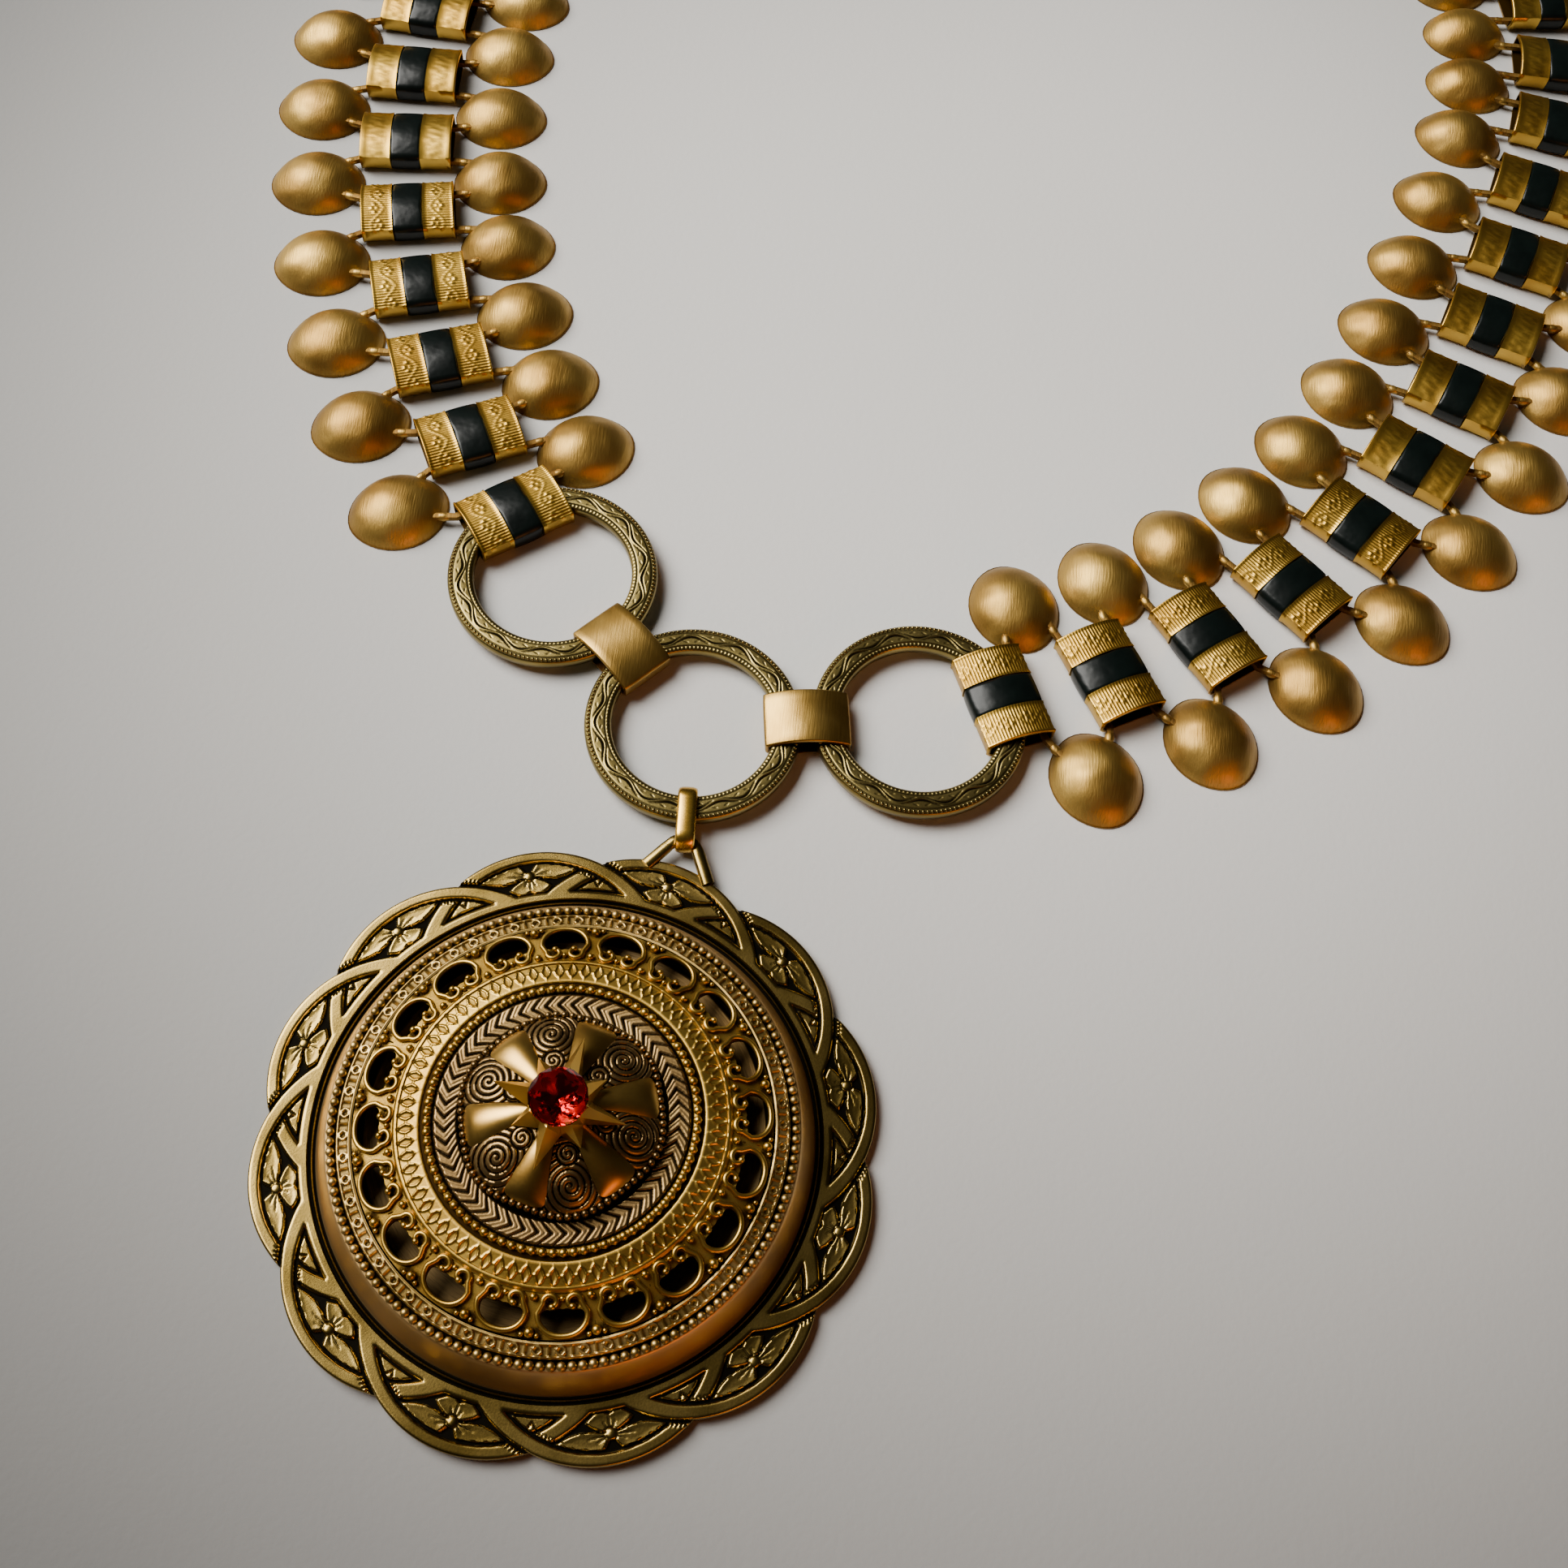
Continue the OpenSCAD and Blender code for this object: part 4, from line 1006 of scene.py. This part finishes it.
def section_outline(width, height, corner, crown, inset, shares):
    """Cross-section of a sleeve, drawn in by inset, as points at the given shares of its length:
    the part of a round-cornered box that lies inside a wide crown circle. Each point is found
    along its ray from the middle by halving, and the top middle comes first. Gives its length
    too."""
    turn = np.radians(90.0 + np.arange(720) * 0.5)
    c, s = np.cos(turn), np.sin(turn)
    low, high = np.zeros_like(turn), np.full_like(turn, width)
    w, h, r = width / 2 - inset, height / 2 - inset, corner - inset
    for _ in range(30):
        t = (low + high) / 2
        x, y = t * c, t * s
        qx, qy = np.abs(x) - w + r, np.abs(y) - h + r
        box = (np.hypot(np.maximum(qx, 0), np.maximum(qy, 0))
               + np.minimum(np.maximum(qx, qy), 0) - r)
        arc = np.hypot(x, y - height / 2 + crown) - crown + inset
        inside = np.maximum(box, arc) < 0
        low, high = np.where(inside, t, low), np.where(inside, high, t)
    x, y = (np.append(line, line[0]) for line in (low * c, low * s + height / 2))
    run = np.append(0.0, np.cumsum(np.hypot(np.diff(x), np.diff(y))))
    way = shares * run[-1]
    return np.stack([np.interp(way, run, x), np.interp(way, run, y)], axis=1), run[-1]


def outward(outline):
    """Unit normals of a closed outline that runs left from its top, pointing out of it."""
    way = np.roll(outline, -1, axis=0) - np.roll(outline, 1, axis=0)
    way /= np.linalg.norm(way, axis=1, keepdims=True)
    return np.stack([way[:, 1], -way[:, 0]], axis=1)


def tube_side(outline, lift, along, place, degrees, foot):
    """One side of a tube: the outline, moved out by lift, stands across the tube's length at each
    place along it."""
    lift, along, _ = np.broadcast_arrays(lift, along, outline[:, 0])
    moved = outline + lift[..., None] * outward(outline)
    flat = place + along[..., None] * unit(degrees) + moved[..., :1] * unit(degrees + 90.0)
    return np.concatenate([flat, foot + moved[..., 1:]], axis=-1)


def tube(work, place, across, foot, outside, inside, dark):
    """An open tube that stands square to a direction. Rows run along outside and back inside, and
    each side is given as its outline, lift and places along the tube."""
    work.sheet(np.concatenate([tube_side(*side, place, across - 90.0, foot)
                               for side in (outside, inside)]), dark)


def ends(half):
    """The two ends of a tube's inner side, as it runs back."""
    return np.array([[half], [-half]])


def connector(work, degrees):
    """Plain arched sleeve of thin sheet, a little barrelled, open at both ends."""
    shares = np.arange(96) / 96
    outside, _ = section_outline(*CONNECTOR, 0.0, shares)
    inside, _ = section_outline(*CONNECTOR, SHEET, shares)
    along, lift = np.array(CONNECTOR_ROWS).T[..., None]
    tube(work, RING_MIDDLE + RING_STEP / 2 * unit(degrees), degrees, CONNECTOR_FOOT,
         (outside, lift, along), (inside, 0.0, ends(CONNECTOR_HALF)),
         np.repeat([0.0, 0.8], [len(along), 2])[:, None])


# The chain: positions worked out as in the frame

HOLDER_OFF = 10.4
LEFT_HOLDER, RIGHT_HOLDER = 125.5, 23.0
LEFT_PITCH, RIGHT_PITCH, BACK_PITCH = 12.8, 13.4, 12.69
# Columns: heading of the step to the next sleeve, lean of that link
LEFT_ROWS = [(124, -5), (117, -4), (112, -4), (107, -3), (101, -3), (96, -2), (91, -1)]
RIGHT_ROWS = [(21, 4), (29, 3), (39, 3), (48, 3), (55, 3), (61, 3), (67, 2), (70, 2), (72, 1),
              (73, 1)]
LEFT_BACK = [(91 - 7.97 * k, 0) for k in range(1, 12)]
RIGHT_BACK = [(73 + 10.12 * k, 0) for k in range(1, 11)]
CLASP_ALONG = (LEFT_BACK[-1][0] + RIGHT_BACK[-1][0] - 180.0) / 2


def chain(start, first, front, back, pitch, end):
    """Sleeve places, sleeve directions and link directions of one side, from its ring to the
    back."""
    rows = np.array(front + back, float)
    steps = np.repeat([pitch, BACK_PITCH], [len(front), len(back)])
    places = np.cumsum(np.concatenate([[start], steps[:, None] * unit(rows[:, 0])]), axis=0)
    links = rows.sum(1)
    return places, np.concatenate([[first], (links[1:] + links[:-1]) / 2, [end]]), links


LEFT = chain(RING_LEFT + HOLDER_OFF * unit(LEFT_HOLDER), LEFT_HOLDER, LEFT_ROWS, LEFT_BACK,
             LEFT_PITCH, CLASP_ALONG)
RIGHT = chain(RING_RIGHT + HOLDER_OFF * unit(RIGHT_HOLDER), RIGHT_HOLDER, RIGHT_ROWS, RIGHT_BACK,
              RIGHT_PITCH, CLASP_ALONG + 180.0)

DISC_LEN, DISC_W, DISC_H = 12.2, 10.2, 3.6
DISC_DROP = ((DISC_W / 2) ** 2 - DISC_H ** 2) / (2 * DISC_H)
DISC_ARC = ((DISC_LEN / 2) ** 2 + DISC_H ** 2) / (2 * DISC_H)
# The shell's inner side. Columns: share of the way out, height
DISC_BACK = [(0.93, 0.05), (0.8, 1.2), (0.55, 2.2), (0.0, 3.1)]
# The front's discs came out wider and longer when beaten, and sit closer in. The links up to the
# first number do so in full and those past both together not at all
FRONT_LINKS, FRONT_FADE = 5.0, 6.0
FRONT_WIDER, FRONT_LONGER, FRONT_CLOSER = 0.07, 0.03, 0.3
LINK_SPAN = 25.0
BAR_OFF, BAR_MID_Z, BAR_THICK, BAR_BEND = 3.1, 1.2, 0.9, 6.3


def disc_rise(x):
    """Distance of the disc's ridge from its long axis, an arc along the disc."""
    return DISC_H + DISC_DROP - DISC_ARC + np.sqrt(np.maximum(DISC_ARC ** 2 - x ** 2, 0.0))


def disc_cap():
    """One hollow oval disc: the arc turned about the long axis, cut off flat, with a rolled rim and
    a shell wall. Rows run from the crown out, round and back in, and painted shade grows towards
    the rim."""
    cols, rows = 36, 12
    turn = np.arange(cols) * 2 * np.pi / cols
    edge_x = DISC_LEN / 2 * np.cos(turn)
    edge_y = np.sign(np.sin(turn)) * np.sqrt(
        np.maximum(disc_rise(edge_x) ** 2 - DISC_DROP ** 2, 0.0))
    share = np.sin(np.radians(np.linspace(0.0, 90.0, rows)))[:, None]
    share[-1] = 0.995
    z = -DISC_DROP + np.sqrt(
        np.maximum(disc_rise(share * edge_x) ** 2 - (share * edge_y) ** 2, 0.0))
    z[-1] = np.maximum(z[-1], 0.22)
    back, back_z = np.array(DISC_BACK).T[..., None]
    share = np.concatenate([share, [[1.0], [0.985]], back])
    z = stacked(cols, z, 0.08, 0.0, back_z)
    # Painted shade: the dome darkens from halfway out towards its rim, and its rim edge and inside
    # stay dark.
    dark = np.repeat([0.0, 0.45], [rows, len(z) - rows])[:, None]
    dark[rows // 2:rows, 0] = np.linspace(0.08, 0.42, rows - rows // 2)
    return (np.stack([share * edge_x, share * edge_y, z], axis=-1),
            grid_faces(len(z), cols, False, True), dark)


def spot(place, degrees, x, y):
    """A point on a bar, x to the right of a direction and y along it."""
    return (*(place + x * unit(degrees - 90.0) + y * unit(degrees)), BAR_MID_Z)


def links(work, places, sleeves, along):
    """All links of one side: two discs on two bars, with a small tongue where each bar meets a
    disc. A bar runs as in the frame: out of one disc, straight through a sleeve, into the other."""
    cap, faces, dark = disc_cap()
    section = round_section(BAR_THICK, BAR_THICK, 8, 3.0)
    reach = LINK_SPAN / 2 - 0.24 * DISC_LEN
    for k, turn in enumerate(along):
        mid = (places[k] + places[k + 1]) / 2
        front = float(ramp(FRONT_LINKS + FRONT_FADE - k, FRONT_FADE))
        wide, long = 1.0 + FRONT_WIDER * front, 1.0 + FRONT_LONGER * front
        for end in (-1, 1):
            middle = mid + end * (LINK_SPAN / 2 - FRONT_CLOSER * front) * unit(turn - 90.0)
            flat = (middle + cap[..., :1] * long * unit(turn - 90.0)
                    + cap[..., 1:2] * wide * unit(turn))
            work.add(np.concatenate([flat, cap[..., 2:]], axis=-1), faces, dark)
        for side, place in ((-1, k), (1, k + 1)):
            foot = side * 0.25 * DISC_W
            path = np.array([spot(mid, turn, -reach, foot),
                             spot(places[place], sleeves[place], -BAR_BEND, -side * BAR_OFF),
                             spot(places[place], sleeves[place], BAR_BEND, -side * BAR_OFF),
                             spot(mid, turn, reach, foot)])
            carry(work, path, section, tarnish=0.5)
            for end, inner in ((0, 1), (3, 2)):
                way = np.degrees(np.arctan2(*(path[inner] - path[end])[1::-1]))
                scatter(work, BEAD, [path[end] * 0.42 + path[inner] * 0.58], [way],
                        (1.1, 0.6, 0.5), 0.3)


# Sleeves: gold ends struck with a scroll on a lined ground, dark enamel between

SLEEVE = (8.4, 3.5, 0.9, 9.0)
SLEEVE_HALF, ENAMEL_HALF, SLEEVE_FOOT = 6.1, 2.0, 0.15
STRUCK_LENGTH = SLEEVE_HALF - ENAMEL_HALF
# The struck field covers this share of the outline on each side of the top's middle
CROWN_SHARE = 0.205
RIB_STEP, STEM_STEP = 0.38, 5.2
# The stem's middle line in x, its swing to each side and its half width
STEM_OUT, STEM_WAVE, STEM_HALF = 2.15, 0.85, 0.15
# Sleeves from the ring on that the photo's camera sees best, and the points over a sleeve's crown,
# round the rest of it and along each struck end, for those and for the others
NEAR_SLEEVES, FINE_GRID, COARSE_GRID = 5, (50, 16, 20), (20, 12, 8)
# Columns: a leaf's place along the stem, the side of the stem that it grows on
LEAVES = [(-3.9, 1), (-1.3, -1), (1.3, 1), (3.9, -1)]
# A leaf's lobes. Columns: place along, distance out, radius
LEAF_LOBES = [(0.0, 0.62, 0.4), (-0.62, 0.3, 0.36), (0.62, 0.3, 0.36), (0.0, -0.05, 0.3)]
# Columns: share of the way to the enamel's edge, lift there
ENAMEL_ROWS = [(-1.0, -0.2), (-0.96, -0.08), (-0.8, -0.03), (-0.4, 0.0), (0.0, 0.01), (0.4, 0.0),
               (0.8, -0.03), (0.96, -0.08), (1.0, -0.2)]


def struck_relief(x, s, shift, ribbed):
    """Height and tarnish on a sleeve's gold end. x runs from its outer rim towards the enamel and s
    round the sleeve from its top middle. Fine ribs run along x over the whole field; a slanting
    stem waves over them with lobed leaves in its hollows, and a plain rim closes the end. The far
    sleeves' grid is too wide for ribs, so they have a flat field."""
    ribs = 0.5 + 0.5 * np.cos(2 * np.pi * s / RIB_STEP) * ribbed
    way = 2 * np.pi * (s + shift) / STEM_STEP
    stem = STEM_HALF - (np.abs(x - STEM_OUT - STEM_WAVE * np.sin(way))
                        / np.sqrt(1 + 0.9 * np.cos(way) ** 2))
    leaf = most(*(size - np.hypot((x - STEM_OUT + side * out) / 0.9, s + shift - place - along)
                  for place, side in LEAVES for along, out, size in LEAF_LOBES))
    raised = np.maximum(0.8 * ramp(stem, 0.14), ramp(leaf, 0.24))
    rim, lip = ramp(0.34 - x, 0.08), ramp(x - STRUCK_LENGTH + 0.26, 0.1)
    top = ramp(4.5 - np.abs(s), 0.2)
    ground = (1 - raised) * (1 - rim) * (1 - lip)
    height = top * (0.07 * ribs * ground + 0.13 * raised) + 0.14 * np.maximum(rim, lip)
    beside = ramp(np.maximum(leaf, stem) + 0.12, 0.08) * (1 - raised)
    dark = most(0.55 * (1 - ribs) * ground, 0.4 * beside, 0.5 * ramp(0.12 - np.abs(x - 0.46), 0.08))
    return height, top * dark


def sleeves(work, places, directions):
    """All sleeves of one side. Those nearest the camera get a finer grid on top than the rest."""
    for k, place in enumerate(places[:-1]):
        on_crown, beside, rows = FINE_GRID if k < NEAR_SLEEVES else COARSE_GRID
        crown = np.linspace(0.0, CROWN_SHARE, on_crown)
        shares = np.concatenate([crown, np.linspace(CROWN_SHARE, 1 - CROWN_SHARE, beside)[1:-1],
                                 1 - crown[:0:-1]])
        outside, run = section_outline(*SLEEVE, 0.0, shares)
        inside, _ = section_outline(*SLEEVE, SHEET, shares)
        x = np.concatenate([[0.0, 0.06], np.linspace(0.16, STRUCK_LENGTH, rows)])[:, None]
        height, dark = struck_relief(x, (shares - (shares > 0.5)) * run, 0.4 * math.sin(k * 2.1),
                                     k < NEAR_SLEEVES)
        height[0], height[1] = -0.02, height[1] * 0.8
        lift = stacked(len(shares), height - 0.1, -0.25, -0.25)
        dark = stacked(len(shares), dark, 0.9, 0.9)
        along = np.concatenate([x - SLEEVE_HALF, [[-ENAMEL_HALF], [-1.0]]])
        tube(work, place, directions[k], SLEEVE_FOOT,
             (outside, np.concatenate([lift, lift[::-1]]), np.concatenate([along, -along[::-1]])),
             (inside, 0.0, ends(SLEEVE_HALF)), stacked(len(shares), dark, dark[::-1], 0.9, 0.9))


def enamel(work, places, directions):
    """Enamel bands: tubes with a soft swell along their length, whose two edges waver a little."""
    shares = np.arange(30) / 30
    outside, _ = section_outline(*SLEEVE, 0.0, shares)
    share, lift = np.array(ENAMEL_ROWS).T[..., None]
    s = shares * 2 * np.pi
    for k, place in enumerate(places[:-1]):
        waver = 0.1 * np.sin(3 * s + k) + 0.06 * np.sin(7 * s + 2.3 * k)
        tube(work, place, directions[k], SLEEVE_FOOT,
             (outside, lift, share * ENAMEL_HALF + waver * np.abs(share)),
             (outside, -0.24, ends(ENAMEL_HALF - 0.1)), 0.0)


# Pieces

for name, finish, slot, node, make in (
        ("medallion_rim", antique, "antique_brass", "medallion_base", medallion_rim),
        ("medallion_wall", spun, "antique_brass", "medallion_base", medallion_wall),
        ("medallion_band", rubbed, "antique_brass", "medallion_base", medallion_band),
        ("medallion_loop", antique, "antique_brass", "medallion_base", pendant_loop),
        ("pierced_plate", pierced_gilt, "gold", "pierced_disc", pierced_disc),
        ("boss_dome", boss_bronze, "antique_brass", "boss", boss),
        ("boss_petals", petal_brass, "antique_brass", "boss", petals),
        ("bail_band", bright_gilt, "gold", "bail", bail)):
    finish_piece(name, finish, slot, [node], make)
finish_piece("star", star_gilt, "gold", ["star_setting"], star, crease=4.0)
stone()
for name, middle, start in (("left", RING_LEFT, 40.0), ("middle", RING_MIDDLE, 0.0),
                            ("right", RING_RIGHT, 12.0)):
    finish_piece("engraved_" + name, engraved, "engraved_brass", ["ring_" + name], engraved_ring,
                 middle, start)
for name, degrees, (places, directions, along), first in (
        ("left", RING_LEFT_TURN, LEFT, 1), ("right", RING_RIGHT_TURN, RIGHT, len(LEFT[2]) + 1)):
    nodes = ["link_%02d" % k for k in range(first, first + len(along))]
    finish_piece("sleeve_plain_" + name, plain_gilt, "satin_gold", ["connector_" + name],
                 connector, degrees)
    finish_piece("links_" + name, satin_gilt, "satin_gold", nodes, links, places, directions,
                 along)
    finish_piece("struck_sleeves_" + name, struck_gilt, "gold", ["sleeves_" + name], sleeves,
                 places, directions)
    finish_piece("enamel_bands_" + name, enamel_black, "enamel", ["enamel_" + name], enamel,
                 places, directions)
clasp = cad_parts["clasp"]
clasp.data.materials.clear()
clasp.data.materials.append(satin_gilt)


# Table, light and camera

def pale_paper():
    """Smooth heavy paper: matt, with a barely seen tooth, and painted shade that greys it away from
    its middle as the light falls off.
    """
    material, tree, surface, place, _, tint = clouded("pale_matt_paper", 90.0, 1.0, "#cdccc9",
                                                      "#d3d2d0")
    tooth = add(tree, "TexNoise", {"Vector": place, "Scale": per_mm(0.8), "Detail": 4.0})
    # Painted shade: the paper fades towards a dark grey away from a point near its middle, as the
    # light falls off.
    off = add(tree, "VectorMath", {0: place, 1: (0.01, -0.01, 0.0)}, operation="DISTANCE")
    far = add(tree, "MapRange", {"Value": off.outputs["Value"], "From Min": 0.03,
                                 "From Max": 0.21}, interpolation_type="SMOOTHSTEP")
    shown = add(tree, "Mix", {0: far, LOW: tint, HIGH: colour("#4c4c4b")}, data_type="RGBA")
    bump = add(tree, "Bump", {"Height": tooth, "Distance": 0.03 * MM})
    feed(surface, {"Base Color": shown.outputs[MIXED], "Normal": bump, "Roughness": 0.75})
    return material


TABLE_HALF = 0.8


def table():
    """Flat sheet just under the collar, big enough to fill the view."""
    line = np.linspace(-TABLE_HALF, TABLE_HALF, 9)
    x, y = np.meshgrid(line, line)
    mesh = new_mesh("table", np.stack([x, y, np.full_like(x, -0.02 * MM)], axis=-1).reshape(-1, 3),
                    grid_faces(len(line), len(line)))
    mesh.materials.append(pale_paper())
    placed("table", mesh)


def soft_light(name, place, target, size, power, shade, spread):
    """A square panel of light that faces a point; a narrower spread in degrees gathers its
    light."""
    lamp = bpy.data.lights.new(name, "AREA")
    lamp.shape = "RECTANGLE"
    lamp.size, lamp.size_y = size
    lamp.energy = power
    lamp.spread = math.radians(spread)
    lamp.color = colour(shade)[:3]
    panel = placed(name, lamp)
    panel.location = place
    panel.rotation_euler = (Vector(target) - Vector(place)).to_track_quat("-Z", "Y").to_euler()


table()
soft_light("window", place=(-0.73, 0.28, 0.86), target=(0.0, -0.02, 0.0), size=(0.8, 0.8),
           power=11.6, shade="#fffcf6", spread=100.0)
soft_light("warm_side", place=(0.32, -0.62, 0.2), target=(-0.02, -0.1, 0.0), size=(0.5, 0.2),
           power=0.2, shade="#ff9a4a", spread=70.0)

world = bpy.data.worlds.new("dim_room")
bpy.context.scene.world = world
world.use_nodes = True
feed(world.node_tree.nodes["Background"], {"Color": colour("#a3a09a"), "Strength": 0.06})

CAMERA_PLACE = (-0.019879, -0.163981, 0.1833)
CAMERA_DOWN, CAMERA_ROLL = math.radians(63.56), math.radians(5.87)
# Focal length and width of the photo in its own pixels, on a sensor 36 mm wide
FOCAL, PHOTO_WIDTH, SENSOR = 2200.0, 1932.0, 36.0


def photo_camera():
    """Camera above the medallion's foot, looking down and ahead, turned a little about its view."""
    ahead = Vector((0.0, math.cos(CAMERA_DOWN), -math.sin(CAMERA_DOWN)))
    right = Vector((1.0, 0.0, 0.0))
    up = right.cross(ahead)
    c, s = math.cos(CAMERA_ROLL), math.sin(CAMERA_ROLL)
    data = bpy.data.cameras.new("photo_view")
    data.lens = SENSOR * FOCAL / PHOTO_WIDTH
    data.clip_start, data.clip_end = 0.01, 10.0
    camera = placed("photo_view", data)
    turn = Matrix((c * right + s * up, c * up - s * right, -ahead)).transposed()
    camera.matrix_world = Matrix.Translation(CAMERA_PLACE) @ turn.to_4x4()
    bpy.context.scene.camera = camera


photo_camera()
bpy.context.view_layer.update()
